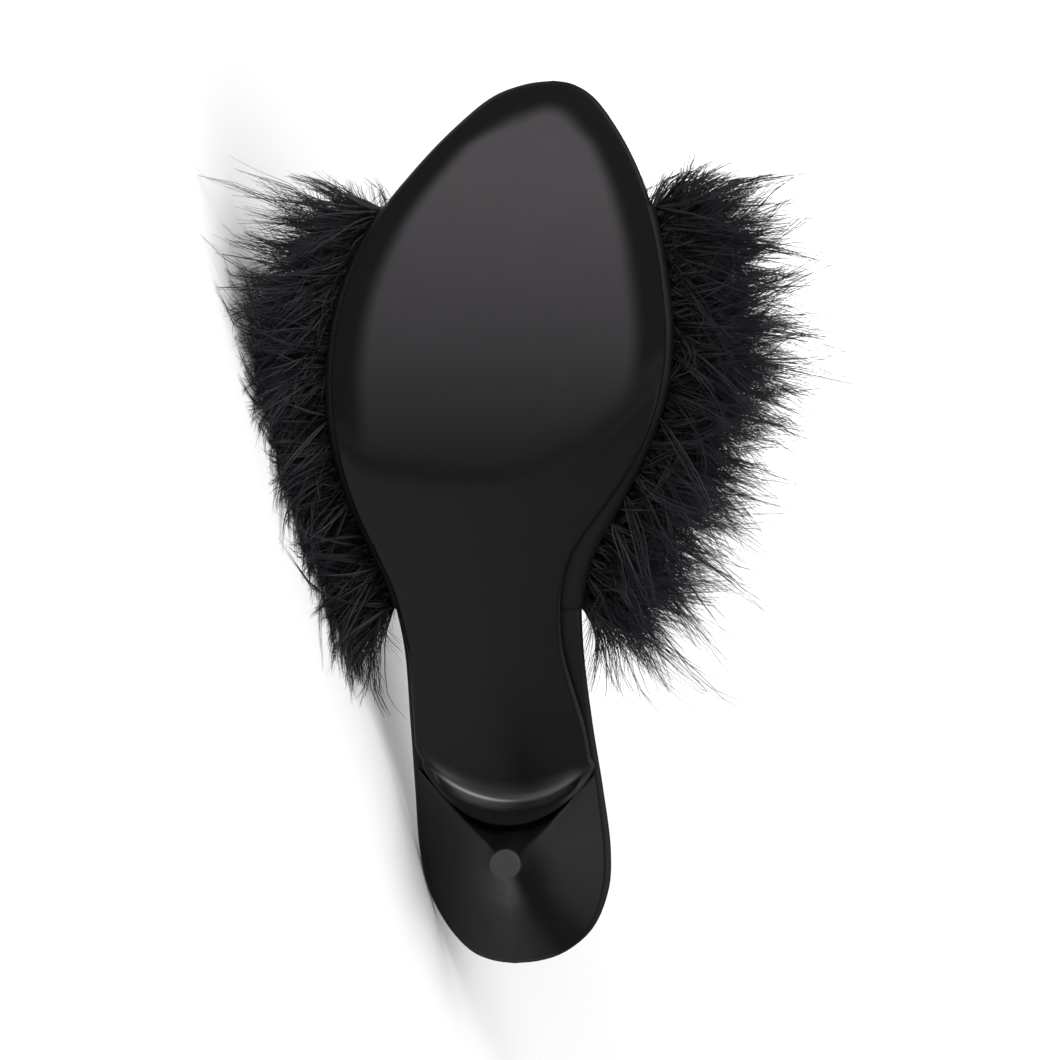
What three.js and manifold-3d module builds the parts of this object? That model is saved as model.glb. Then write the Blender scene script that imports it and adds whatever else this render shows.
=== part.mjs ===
// A marabou mule for the right foot: a slip-on with a kitten heel, an open toe and back,
// and one broad band over the forefoot that is covered in marabou down.
// Every piece is shaped in the shoe's own standing frame, in millimetres: +X runs from the
// heel's back to the toe, +Y to the inner side, +Z up, and the tread lies on Z = 0.
// The last section lays the finished shoe on its outer side, as it lies on a floor.
import * as THREE from "three";
import { mergeVertices } from "three/addons/utils/BufferGeometryUtils.js";
import Module from "manifold-3d";

// Driving dimensions
const LENGTH = 245; // in plan, from the heel's back to the toe's tip
const BALL_WIDTH = 94;
const WAIST_WIDTH = 50;
const SEAT_WIDTH = 54;
const HEEL_HEIGHT = 50; // from the ground to the insole's underside at the heel's back
const TOE_SPRING = 5;
const FOREPART_THICKNESS = 4;
const TREAD_STEP = 10; // over which the sole thins behind its tread
const WAIST_THICKNESS = 2.4;
const SOLE_INSET = 1.2; // how far the outsole's edge lies inside the insole's
const WAIST_INSET = 5.5; // the same along the inner side of the waist
const SOLE_EDGE_RADIUS = 2.2;
const INSOLE_THICKNESS = 4.6;
const INSOLE_EDGE_RADIUS = 1.7;
const INSOLE_CUP = 1.6; // how far the insole's top is dished at the heel
const BREAST_POSITION = 45; // from the heel's back to the heel's front face, at its middle
const BREAST_SCOOP = 12; // how much further forward that face stands at the heel's sides
const BREAST_RAKE = 11; // how far it recedes by the time it reaches the top piece
const BEND_RADIUS = 5; // of the sole where it turns down the heel's front face
const TONGUE_LENGTH = 17; // of the sole's lip that lies on the heel's front face
const TONGUE_WIDTH = 46;
const TONGUE_THICKNESS = 1.6;
const LIP_BLEND = 6; // ahead of the heel's front face, over which the lip widens to the sole
const TIP_POSITION = 31; // from the heel's back to the middle of the top piece
const TIP_DIAMETER = 8.2;
const TOP_PIECE_HEIGHT = 5;
const TOP_PIECE_FLARE = 0.2; // how much wider its radius is where it meets the heel
const HEEL_INSET = 1.7; // how far the heel's seat lies inside the insole's edge
const UPPER_WALL = 1.6;
const UPPER_CORNER = 2.2; // the radius that the band turns under the insole with
const LASTING_MARGIN = 9; // of the band, folded under the insole
const RIDGE_SHIFT = 3.8; // how far towards the inner side the instep's ridge lies
const INSTEP_HEIGHT = 60; // from the insole's underside to the band's top, at the throat
const BAND_REAR = 100; // from the heel's back to the band, at the sole's edge
const BAND_FRONT = 211;
const THROAT_DEPTH = 46; // how much further forward the band's rear edge lies on top
const PEEP_DEPTH = 12; // how much further back its front edge lies on top
const DOWN_DEPTH = 21; // of the dense down over the band
const LOCK_LENGTH = 36; // of a lock of down, from the band to its tip
const LOCK_WIDTH = 20; // at its widest
const LOCK_THICKNESS = 10;
const LOCK_SPACING = 18; // between locks along the shoe
const PRESSED_TRIM = 20; // from the sole's outer edge to the floor that presses the down
const SIDE_LEAN = 9; // degrees that the lying shoe turns its sole up
const CLEARANCE = 0.3; // between pieces that touch
const EDGE_STEPS = [0, 0.7, 2.2]; // from a plate's edge, where its skin turns round the edge
const FACE_MARGIN = 7; // from a plate's edge to the first ring of its face

// Driving shares of the length, and powers that bend a curve
const BALL_POSITION = 0.65;
const SPRING_FROM = 0.8; // where the toe starts to rise
const CUP_FULL_TO = 0.15; // where the insole's dish starts to fade
const CUP_TO = 0.4;
const WAIST_RUN = [0.17, 0.23, 0.59, 0.66]; // the sole's waist inset: from, full from, full to, to
const SIDE_FULLNESS = 0.72; // under 1 the band's sides stand fuller than an ellipse's
const TOP_FULLNESS = 0.92;
const THROAT_CURVE = 1.3; // over 1 the throat narrows towards its top
const PEEP_CURVE = 1.5;

// The insole's plan. Each row's sides are shares of the width named in the row, measured from
// the line through the middle of the heel, and "at" is a share of the length.
const OUTLINE = [
  { at: 0, of: SEAT_WIDTH, outer: 0, inner: 0 },
  { at: 0.003, of: SEAT_WIDTH, outer: 0.108, inner: 0.128 },
  { at: 0.013, of: SEAT_WIDTH, outer: 0.22, inner: 0.26 },
  { at: 0.04, of: SEAT_WIDTH, outer: 0.34, inner: 0.405 },
  { at: 0.085, of: SEAT_WIDTH, outer: 0.45, inner: 0.49 },
  { at: 0.13, of: SEAT_WIDTH, outer: 0.495, inner: 0.502 },
  { at: 0.2, of: SEAT_WIDTH, outer: 0.515, inner: 0.465 },
  { at: 0.28, of: WAIST_WIDTH, outer: 0.575, inner: 0.445 },
  { at: 0.37, of: WAIST_WIDTH, outer: 0.598, inner: 0.402 },
  { at: 0.43, of: WAIST_WIDTH, outer: 0.665, inner: 0.406 },
  { at: 0.475, of: BALL_WIDTH, outer: 0.402, inner: 0.25 },
  { at: 0.52, of: BALL_WIDTH, outer: 0.455, inner: 0.316 },
  { at: 0.58, of: BALL_WIDTH, outer: 0.501, inner: 0.397 },
  { at: 0.64, of: BALL_WIDTH, outer: 0.519, inner: 0.456 },
  { at: 0.7, of: BALL_WIDTH, outer: 0.513, inner: 0.481 },
  { at: 0.77, of: BALL_WIDTH, outer: 0.472, inner: 0.47 },
  { at: 0.84, of: BALL_WIDTH, outer: 0.386, inner: 0.438 },
  { at: 0.9, of: BALL_WIDTH, outer: 0.265, inner: 0.386 },
  { at: 0.95, of: BALL_WIDTH, outer: 0.141, inner: 0.317 },
  { at: 0.983, of: BALL_WIDTH, outer: 0.035, inner: 0.25 },
  { at: 0.9967, of: BALL_WIDTH, outer: -0.063, inner: 0.189 },
  { at: 1, of: BALL_WIDTH, outer: -0.137, inner: 0.137 },
];

// The insole's underside, seen from the side: a share of its rise from the ball to the heel.
const RISE = [
  { at: 0, up: 1 },
  { at: 0.1, up: 0.985 },
  { at: 0.19, up: 0.925 },
  { at: 0.28, up: 0.78 },
  { at: 0.38, up: 0.555 },
  { at: 0.48, up: 0.33 },
  { at: 0.57, up: 0.15 },
  { at: 0.64, up: 0.045 },
  { at: 0.7, up: 0 },
  { at: 1, up: 0 },
];

// The height of the foot under the band, as a share of the instep's.
const FOOT_HEIGHT = [
  { at: 0.34, up: 1.04 },
  { at: 0.45, up: 1 },
  { at: 0.55, up: 0.93 },
  { at: 0.65, up: 0.8 },
  { at: 0.75, up: 0.64 },
  { at: 0.85, up: 0.5 },
  { at: 0.95, up: 0.41 },
];

// The outsole's tread, at its rear edge: a share of the length for each share of the width.
const TREAD_REAR = [
  { across: -1, at: 0.605 },
  { across: -0.6, at: 0.567 },
  { across: 0, at: 0.56 },
  { across: 0.5, at: 0.585 },
  { across: 1, at: 0.68 },
];

const wasm = await Module();
wasm.setup();

// Curves through the tables

const SAMPLES_PER_ROW = 24;

// The value at x of a smooth curve through points [x, value], with x rising.
function throughTable(points) {
  const curve = new THREE.CatmullRomCurve3(
    points.map(([x, value]) => new THREE.Vector3(x, value, 0)),
    false,
    "centripetal",
  );
  const samples = curve.getPoints(points.length * SAMPLES_PER_ROW);
  return (x) => {
    const next = samples.findIndex((p) => p.x >= x);
    if (next <= 0) return next === 0 ? samples[0].y : samples.at(-1).y;
    const [a, b] = [samples[next - 1], samples[next]];
    return THREE.MathUtils.lerp(a.y, b.y, (x - a.x) / (b.x - a.x));
  };
}

const outerEdge = throughTable(OUTLINE.map((r) => [r.at * LENGTH, -r.outer * r.of]));
const innerEdge = throughTable(OUTLINE.map((r) => [r.at * LENGTH, r.inner * r.of]));
const riseShare = throughTable(RISE.map((r) => [r.at * LENGTH, r.up]));
const footShare = throughTable(FOOT_HEIGHT.map((r) => [r.at * LENGTH, r.up]));
const treadRear = throughTable(TREAD_REAR.map((r) => [r.across, r.at * LENGTH]));

const smooth = (x, from, to) => THREE.MathUtils.smoothstep(x, from, to);
const middle = (x) => (outerEdge(x) + innerEdge(x)) / 2;

// Even steps from one value to another.
const even = (from, to, count) =>
  Array.from({ length: count + 1 }, (_, i) => THREE.MathUtils.lerp(from, to, i / count));

// The height of the insole's underside over the ground.
function underside(x) {
  const ball = FOREPART_THICKNESS + CLEARANCE;
  const spring = TOE_SPRING * Math.max(0, (x / LENGTH - SPRING_FROM) / (1 - SPRING_FROM)) ** 2;
  return ball + (HEEL_HEIGHT - ball) * riseShare(x) + spring;
}

// How far a rounded edge of this radius falls back at a distance from the edge.
function edgeFall(distance, radius) {
  const into = Math.max(0, radius - distance);
  return radius - Math.sqrt(radius * radius - into * into);
}

// Solids from loops of points

const WELD = 1e-3; // points nearer than this are one

function solidOf(points, triangles) {
  const geometry = new THREE.BufferGeometry();
  geometry.setFromPoints(points);
  geometry.setIndex(triangles);
  const merged = mergeVertices(geometry, WELD);
  const index = merged.index.array;
  const kept = [];
  for (let i = 0; i < index.length; i += 3) {
    const [a, b, c] = index.slice(i, i + 3);
    if (a !== b && b !== c && c !== a) kept.push(a, b, c);
  }
  const make = (triVerts) =>
    new wasm.Manifold(
      new wasm.Mesh({
        numProp: 3,
        vertProperties: new Float32Array(merged.attributes.position.array),
        triVerts: new Uint32Array(triVerts),
      }),
    );
  const solid = make(kept);
  return solid.volume() > 0 ? solid : make(kept.reverse());
}

// A closed skin over loops with equal numbers of points. An end that isn't shut by its own
// loop, as a line or a point is, gets a cap round the middle of the loop.
function skin(loops, { capStart = true, capEnd = true } = {}) {
  const count = loops[0].length;
  const points = loops.flat();
  const triangles = [];
  for (let row = 0; row < loops.length - 1; row += 1) {
    for (let i = 0; i < count; i += 1) {
      const a = row * count + i;
      const b = row * count + ((i + 1) % count);
      triangles.push(a, b, b + count, a, b + count, a + count);
    }
  }
  const cap = (loop, first, flip) => {
    const centre = loop.reduce((sum, p) => sum.add(p), new THREE.Vector3()).divideScalar(count);
    points.push(centre);
    for (let i = 0; i < count; i += 1) {
      const a = first + i;
      const b = first + ((i + 1) % count);
      triangles.push(...(flip ? [b, a, points.length - 1] : [a, b, points.length - 1]));
    }
  };
  if (capStart) cap(loops[0], 0, true);
  if (capEnd) cap(loops.at(-1), (loops.length - 1) * count, false);
  return solidOf(points, triangles);
}

// Of the bodies that a cut leaves, the one that counts.
const largest = (solid) =>
  solid.decompose().reduce((best, body) => (body.volume() > best.volume() ? body : best));

// Plates: the insole and the outsole

// The plan loop of a plate: along the outer side to the toe and back along the inner side.
// Each point has its partner on the spine, the line that the plate's rings close on.
function planLoop({ stations, outer, inner, spineFrom, spineTo, inset = () => 0, grow = 0 }) {
  const place = (x, y, side) => {
    const at = THREE.MathUtils.clamp(x, spineFrom, spineTo);
    const spine = new THREE.Vector2(at, (outer(at) + inner(at)) / 2);
    const out = new THREE.Vector2(x, y).sub(spine);
    const reach = out.length() - inset(x, side) + grow;
    return { spine, out: out.normalize(), reach };
  };
  const there = stations.map((x) => place(x, outer(x), -1));
  const back = stations.slice(1, -1).reverse().map((x) => place(x, inner(x), 1));
  return [...there, ...back];
}

const WIDEST_INSET = 0.8; // a ring's greatest inset, as a share of the way to the spine

// One ring inside the plan loop, given by a distance from its edge and then by the share of
// what is left to the spine. Each point keeps its true distance from the edge.
function ring(loop, { inset = 0, share = 0 }) {
  return loop.map(({ spine, out, reach }) => {
    const first = Math.min(inset, WIDEST_INSET * reach);
    const distance = first + share * (reach - first);
    return { at: spine.clone().addScaledVector(out, reach - distance), distance };
  });
}

const FACE_RINGS = [0, 0.5, 1].map((share) => ({ inset: FACE_MARGIN, share }));
const TREAD_RINGS = [0, 0.25, 0.6, 1].map((share) => ({ inset: FACE_MARGIN, share }));
const EDGE_RINGS = EDGE_STEPS.map((inset) => ({ inset }));
const TOE_SPINE = BALL_WIDTH / 5; // from a plate's tip to its spine

// Lengthwise stations that crowd towards the first one, where a plan closes fastest.
function stationsFrom(tight, loose, count) {
  return Array.from({ length: count + 1 }, (_, i) =>
    THREE.MathUtils.lerp(tight, loose, 1 - Math.cos((Math.PI * i) / (2 * count))),
  );
}

function insoleSolid(grow = 0) {
  const loop = planLoop({
    stations: [
      ...stationsFrom(0, LENGTH / 2, 14),
      ...stationsFrom(LENGTH, LENGTH / 2, 15).reverse().slice(1),
    ],
    outer: outerEdge,
    inner: innerEdge,
    spineFrom: SEAT_WIDTH / 2,
    spineTo: LENGTH - TOE_SPINE,
    grow,
  });
  const bottom = ({ at, distance }) => {
    const fall = edgeFall(distance, INSOLE_EDGE_RADIUS);
    return new THREE.Vector3(at.x, at.y, underside(at.x) + fall - grow);
  };
  const top = ({ at, distance }) => {
    const dish = smooth(distance, 0, SEAT_WIDTH / 3);
    const cup = INSOLE_CUP * dish * (1 - smooth(at.x / LENGTH, CUP_FULL_TO, CUP_TO));
    const fall = edgeFall(distance, INSOLE_EDGE_RADIUS) + cup;
    return new THREE.Vector3(at.x, at.y, underside(at.x) + INSOLE_THICKNESS - fall + grow);
  };
  const levels = [...EDGE_RINGS, ...FACE_RINGS];
  const below = levels.map((level) => ring(loop, level).map(bottom)).reverse();
  const above = levels.map((level) => ring(loop, level).map(top));
  return skin([...below, ...above], { capStart: false, capEnd: false });
}

// The heel's front face stands further forward at its sides than at its middle.
function scoop(y) {
  const across = (y - middle(BREAST_POSITION)) / (SEAT_WIDTH / 2);
  return BREAST_SCOOP * Math.min(1, across * across);
}

// How far the heel's front face has receded at a depth under the seat.
const BREAST_HEIGHT = HEEL_HEIGHT - TOP_PIECE_HEIGHT;
const BREAST_CURVE = 0.8; // under 1 the face recedes fastest at its top
const receded = (depth) => BREAST_RAKE * (Math.max(0, depth) / BREAST_HEIGHT) ** BREAST_CURVE;

// Where a point of the sole lies along the shoe. The scoop of the heel's front face fades out
// ahead of it.
function alongSole(ahead, scooped) {
  return BREAST_POSITION + ahead + scooped * (1 - smooth(ahead, 0, 4 * BREAST_SCOOP));
}

// The outsole is a flat sheet that is bent to the shoe. On the sheet, s is the distance ahead
// of the heel's front face, so a negative s lies on the lip that turns down that face.
function sheetPoint(s, y) {
  const onSole = (ahead) => {
    const x = alongSole(ahead, scoop(y));
    return new THREE.Vector3(x, y, underside(x) - CLEARANCE);
  };
  const onBreast = (depth) => {
    const top = onSole(0);
    return new THREE.Vector3(top.x - receded(depth), y, top.z - depth);
  };
  if (s >= BEND_RADIUS) return onSole(s);
  if (s <= -BEND_RADIUS) return onBreast(-s);
  const share = (BEND_RADIUS - s) / (2 * BEND_RADIUS);
  const [from, turn, to] = [onSole(BEND_RADIUS), onSole(0), onBreast(BEND_RADIUS)];
  const before = from.lerp(turn, share);
  const after = turn.clone().lerp(to, share);
  return before.lerp(after, share);
}

// The side of the sheet that faces the insole and the heel.
function sheetNormal(s, y) {
  const step = 0.5;
  const along = sheetPoint(s + step, y).sub(sheetPoint(s - step, y));
  const across = sheetPoint(s, y + step).sub(sheetPoint(s, y - step));
  return along.cross(across).normalize();
}

// The sole is thick under the tread, thin in the waist and thinnest on the lip.
function soleThickness(s, y) {
  const x = alongSole(s, scoop(y));
  const half = (innerEdge(x) - outerEdge(x)) / 2;
  const across = THREE.MathUtils.clamp((y - middle(x)) / half, -1, 1);
  const rear = treadRear(across);
  const tread = smooth(x, rear - TREAD_STEP / 2, rear + TREAD_STEP / 2);
  const lip = 1 - smooth(s, -BEND_RADIUS, BEND_RADIUS);
  const waist = THREE.MathUtils.lerp(WAIST_THICKNESS, TONGUE_THICKNESS, lip);
  return THREE.MathUtils.lerp(waist, FOREPART_THICKNESS, tread);
}

// How far inside the insole's edge the outsole runs: more along the inner side of the waist.
function soleInset(s, side) {
  const at = alongSole(s, BREAST_SCOOP) / LENGTH;
  const [from, fullFrom, fullTo, to] = WAIST_RUN;
  const waist = side > 0 ? smooth(at, from, fullFrom) * (1 - smooth(at, fullTo, to)) : 0;
  return smooth(s, 0, LIP_BLEND) * THREE.MathUtils.lerp(SOLE_INSET, WAIST_INSET, waist);
}

// The sole's sides on the sheet. The lip narrows down the heel to a rounded end, and ahead of
// the heel it widens to the insole's outline.
function soleSide(edge, side) {
  return (s) => {
    const down = THREE.MathUtils.clamp(-s / TONGUE_LENGTH, 0, 1);
    const lip = middle(BREAST_POSITION) + (side * TONGUE_WIDTH * Math.sqrt(1 - down)) / 2;
    const x = Math.min(alongSole(s, BREAST_SCOOP), LENGTH);
    return THREE.MathUtils.lerp(lip, edge(x), smooth(s, 0, LIP_BLEND));
  };
}

const EDGE_SHARE = 0.6; // of the sole's thickness, the most that its rounded edge takes

function outsoleSolid(grow = 0) {
  const toe = LENGTH - BREAST_POSITION;
  const bend = [-BEND_RADIUS / 2, 0, BEND_RADIUS / 2];
  const loop = planLoop({
    stations: [
      ...stationsFrom(-TONGUE_LENGTH, -BEND_RADIUS, 5),
      ...bend,
      ...stationsFrom(toe, BEND_RADIUS, 22).reverse(),
    ],
    outer: soleSide(outerEdge, -1),
    inner: soleSide(innerEdge, 1),
    spineFrom: -TONGUE_LENGTH / 2,
    spineTo: toe - TOE_SPINE,
    inset: soleInset,
    grow,
  });
  const facing = ({ at }) =>
    sheetPoint(at.x, at.y).addScaledVector(sheetNormal(at.x, at.y), grow);
  const treading = ({ at, distance }) => {
    const thickness = soleThickness(at.x, at.y);
    const fall = Math.min(edgeFall(distance, SOLE_EDGE_RADIUS), EDGE_SHARE * thickness);
    const out = thickness - fall + grow;
    return sheetPoint(at.x, at.y).addScaledVector(sheetNormal(at.x, at.y), -out);
  };
  const below = [...EDGE_RINGS, ...TREAD_RINGS].map((level) => ring(loop, level).map(treading));
  const above = [{ inset: 0 }, ...FACE_RINGS].map((level) => ring(loop, level).map(facing));
  return skin([...below.reverse(), ...above], { capStart: false, capEnd: false });
}

// The heel: its seat takes the insole's plan and flares down to the round top piece.
const HEEL_ROUNDING = 30; // how often the section's corners draw in on the way down
const BACK_INSET = 0.35; // the share of the seat's inset that is left at the heel's back
const CORNER_REACH = 1.05; // how far forward the seat's corners reach, as a share of the scoop
const FRONT_SPAN = 0.8; // the share of the seat's width that its front face takes
const FRONT_STEPS = 8;
const HEEL_LEVELS = [0, 0.03, 0.08, 0.16, 0.26, 0.38, 0.52, 0.67, 0.83, 1];
const FLARE = [
  { turn: 0, power: 1.35 },
  { turn: 0.25, power: 2.6 },
  { turn: 0.5, power: 2.4 },
  { turn: 1, power: 1.75 },
];

// A loop that has lost its corners, more with each time that its points draw together.
function rounded(loop, times) {
  const next = (points, i) => points.at((i + 1) % points.length);
  let points = loop;
  for (let time = 0; time < times; time += 1) {
    const halfway = points.map((p, i) => p.clone().lerp(next(points, i), 0.5));
    points = halfway.map((p, i) => halfway.at(i - 1).clone().lerp(p, 0.5));
  }
  return points;
}

function heelBlank() {
  const flare = throughTable(FLARE.map((r) => [r.turn * Math.PI, r.power]));
  const corner = BREAST_POSITION + BREAST_SCOOP * CORNER_REACH;
  const seatMiddle = new THREE.Vector2(SEAT_WIDTH / 2, middle(SEAT_WIDTH / 2));
  const inward = (x, y) => {
    const point = new THREE.Vector2(x, y);
    const inset = HEEL_INSET * THREE.MathUtils.lerp(BACK_INSET, 1, smooth(x, 0, SEAT_WIDTH / 2));
    return point.addScaledVector(seatMiddle.clone().sub(point).normalize(), inset);
  };
  const sides = stationsFrom(2 * CLEARANCE, corner, 11);
  const outer = sides.map((x) => inward(x, outerEdge(x)));
  const inner = sides.map((x) => inward(x, innerEdge(x)));
  const front = even(FRONT_SPAN, -FRONT_SPAN, FRONT_STEPS).map((share) => {
    const y = middle(BREAST_POSITION) + (share * SEAT_WIDTH) / 2;
    return new THREE.Vector2(BREAST_POSITION + scoop(y), y);
  });
  const seat = [...inner, ...front, ...outer.reverse()];
  const tip = new THREE.Vector2(TIP_POSITION, middle(TIP_POSITION));
  const radius = TIP_DIAMETER / 2 + TOP_PIECE_FLARE;
  const foot = TOP_PIECE_HEIGHT + CLEARANCE;
  const loopAt = (down, lift = 0) =>
    rounded(seat, Math.round(HEEL_ROUNDING * down)).map((p) => {
      const way = p.clone().sub(seatMiddle).normalize();
      const shrink = (1 - down) ** flare(Math.abs(Math.atan2(way.y, way.x)));
      const at = tip.clone().addScaledVector(way, radius);
      at.lerp(p, shrink);
      const head = underside(p.x) - CLEARANCE;
      return new THREE.Vector3(at.x, at.y, THREE.MathUtils.lerp(head, foot, down) + lift);
    });
  return skin([loopAt(0, INSOLE_THICKNESS / 2), ...HEEL_LEVELS.map((down) => loopAt(down))]);
}

const TOP_PIECE_SIDES = 24;

function topPieceSolid() {
  const profile = [
    new THREE.Vector2(0, 0),
    new THREE.Vector2(TIP_DIAMETER / 2, 0),
    new THREE.Vector2(TIP_DIAMETER / 2 + TOP_PIECE_FLARE, TOP_PIECE_HEIGHT),
    new THREE.Vector2(0, TOP_PIECE_HEIGHT),
  ];
  const lathe = new THREE.LatheGeometry(profile, TOP_PIECE_SIDES);
  lathe.rotateX(Math.PI / 2);
  lathe.translate(TIP_POSITION, middle(TIP_POSITION), 0);
  const position = lathe.attributes.position;
  const points = Array.from({ length: position.count }, (_, i) =>
    new THREE.Vector3().fromBufferAttribute(position, i),
  );
  return solidOf(points, Array.from(lathe.index.array));
}

// The upper: one band, from its fold under the insole's outer edge to the one under the inner

// A point of the band's middle layer in the section at x. The turn runs from 0 at the outer
// edge to 1 at the inner edge, and beyond those along the margins under the insole.
function bandSection(x, turn) {
  const folded = Math.max(0, -turn, turn - 1) * LASTING_MARGIN;
  const angle = Math.PI * THREE.MathUtils.clamp(turn, 0, 1);
  const half = (innerEdge(x) - outerEdge(x)) / 2;
  const base = underside(x) + UPPER_WALL / 2;
  const swing = Math.sign(Math.cos(angle)) * Math.abs(Math.cos(angle)) ** SIDE_FULLNESS;
  const arch = Math.sin(angle);
  const rise = (INSTEP_HEIGHT * footShare(x) - UPPER_CORNER) * arch ** TOP_FULLNESS;
  const y = middle(x) - half * swing + RIDGE_SHIFT * arch * arch;
  if (folded === 0) return new THREE.Vector2(y, base + UPPER_CORNER + rise);
  const inwards = turn < 0 ? 1 : -1;
  const rounded = (Math.PI / 2) * Math.min(1, folded / UPPER_CORNER);
  const straight = Math.max(0, folded - UPPER_CORNER);
  return new THREE.Vector2(
    y + inwards * (UPPER_CORNER * (1 - Math.cos(rounded)) + straight),
    base + UPPER_CORNER * (1 - Math.sin(rounded)),
  );
}

// The band's reach along the shoe: its rear and front edges curve over the foot.
function bandAt(turn, share) {
  const over = Math.sin(Math.PI * THREE.MathUtils.clamp(turn, 0, 1));
  const rear = BAND_REAR + THROAT_DEPTH * over ** THROAT_CURVE;
  const front = BAND_FRONT - PEEP_DEPTH * over ** PEEP_CURVE;
  return THREE.MathUtils.lerp(rear, front, share);
}

// A point at a distance outside the band's middle layer, and the way that faces out there.
function bandPoint(turn, share, outside) {
  const x = bandAt(turn, share);
  const step = 0.01;
  const along = bandSection(x, turn + step).sub(bandSection(x, turn - step)).normalize();
  const out = new THREE.Vector3(0, -along.y, along.x);
  if (along.x === 0 && along.y === 0) out.set(0, 0, 1);
  const at = bandSection(x, turn);
  const point = new THREE.Vector3(x, at.x, at.y).addScaledVector(out, outside);
  return { point, out };
}

const FOLD_TURNS = [0.12, 0.24, 0.62, 1];
const ARCH_STEPS = 22;
const BAND_STEPS = 9;
const ARCH_TURNS = even(0, 1, ARCH_STEPS).map((share) => (1 - Math.cos(Math.PI * share)) / 2);

// A closed slab between two layers over the band, each layer given by its distance outside.
// A lean carries the outer layer along the shoe, by a share of that distance.
function slabOverBand(turns, shares, inside, outside, lean = () => 0) {
  const outer = (turn, share) => {
    const out = outside(turn, share);
    const { point } = bandPoint(turn, share, out);
    point.x += out * lean(share);
    return point;
  };
  const loops = shares.map((share) => [
    ...turns.map((turn) => outer(turn, share)),
    ...turns.map((turn) => bandPoint(turn, share, inside(turn, share)).point).reverse(),
  ]);
  const layer = (loop) => {
    const half = loop.length / 2;
    return loop.map((p, i) => {
      const partner = loop[loop.length - 1 - i];
      return i < half ? p.clone().lerp(partner, 0.5) : partner.clone().lerp(p, 0.5);
    });
  };
  return skin([layer(loops[0]), ...loops, layer(loops.at(-1))], {
    capStart: false,
    capEnd: false,
  });
}

// The least length of the band from its rear edge to its front, which is on top.
const BAND_LEAST = BAND_FRONT - BAND_REAR - THROAT_DEPTH - PEEP_DEPTH;

function upperSolid(grow = 0) {
  const along = grow / BAND_LEAST;
  const shares = even(0, 1, BAND_STEPS);
  const folds = [...FOLD_TURNS, 1 + grow / LASTING_MARGIN];
  const turns = [...folds.map((t) => -t).reverse(), ...ARCH_TURNS, ...folds.map((t) => 1 + t)];
  const half = UPPER_WALL / 2 + grow;
  return slabOverBand(turns, [-along, ...shares, 1 + along], () => -half, () => half);
}

// The floor that the shoe lies on, as a plane in the shoe's own frame

const HALVINGS = 40; // of the range that the floor's slope is searched in

// The plane leans by SIDE_LEAN, touches the insole's rim at the heel, and passes PRESSED_TRIM
// outside the outsole's edge at the ball. Its slope along the shoe follows from those.
function floorUnder(insole) {
  const mesh = insole.getMesh();
  const rim = [];
  for (let i = 0; i < mesh.numVert; i += 1) {
    const at = i * mesh.numProp;
    rim.push(new THREE.Vector3(...mesh.vertProperties.subarray(at, at + 3)));
  }
  const lean = Math.tan(THREE.MathUtils.degToRad(SIDE_LEAN));
  const ball = BALL_POSITION * LENGTH;
  const pressed = new THREE.Vector3(ball, outerEdge(ball) - PRESSED_TRIM, underside(ball));
  const upward = (slope) => new THREE.Vector3(slope, 1, -lean).normalize();
  const lowest = (up) => Math.min(...rim.map((p) => p.dot(up)));
  let [flat, steep] = [0, 1];
  for (let i = 0; i < HALVINGS; i += 1) {
    const slope = (flat + steep) / 2;
    const up = upward(slope);
    if (lowest(up) > pressed.dot(up)) flat = slope;
    else steep = slope;
  }
  const up = upward((flat + steep) / 2);
  return new THREE.Plane(up, -lowest(up));
}

// The marabou: strips of dense down sewn over the band, with locks that stand out of them

const DOWN_FROM = 0.035; // the turns of the band that the down covers
const DOWN_TO = 0.965;
const STRIPS = ["throat", "instep", "ball", "toe"]; // from the band's rear edge to its front
const DOWN_TURNS = 16;
const DOWN_OVERHANG = 0.03; // past the band's edges, as a share of the band
const SIDE_DOWN = 0.25; // the down's depth at the strips' ends, as a share of its full depth
const VALLEY_DOWN = 0.5; // the same between two strips
const CROWN_POWER = 0.3; // under 1 the down is full nearly to the strips' ends
const LOCK_COLUMNS = 10;
const LOCK_STEPS = 2;
const LOCK_STAGGER = 0.25; // of the locks of every other column, as a share of their spacing

// How locks differ: a lean for their place along the band, and shares of scatter
const LOCK_LEAN = 1.5;
const UPRIGHT_AT = 0.5; // the share of the band where a lock stands upright
const LOCK_SWAY = 0.25;
const LOCK_BEND = 0.3;
const LOCK_TWIST = 0.6;
const LOCK_VARIATION = 0.16;
const LOCK_TAPER = [0.36, 0.97]; // the part of a half wave that a lock's width follows

// A number from -1 to 1 that looks random and is the same on every run.
function scatter(...seeds) {
  const mixed = seeds.reduce((sum, seed, i) => sum + seed * (12.9898 + 65.117 * i), 4.1414);
  const wave = Math.sin(mixed) * 43758.5453;
  return 2 * (wave - Math.floor(wave)) - 1;
}

// How far a lock leans along the shoe for its share of the way to the band's front.
const lockLean = (share) => LOCK_LEAN * (share - UPRIGHT_AT);

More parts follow.
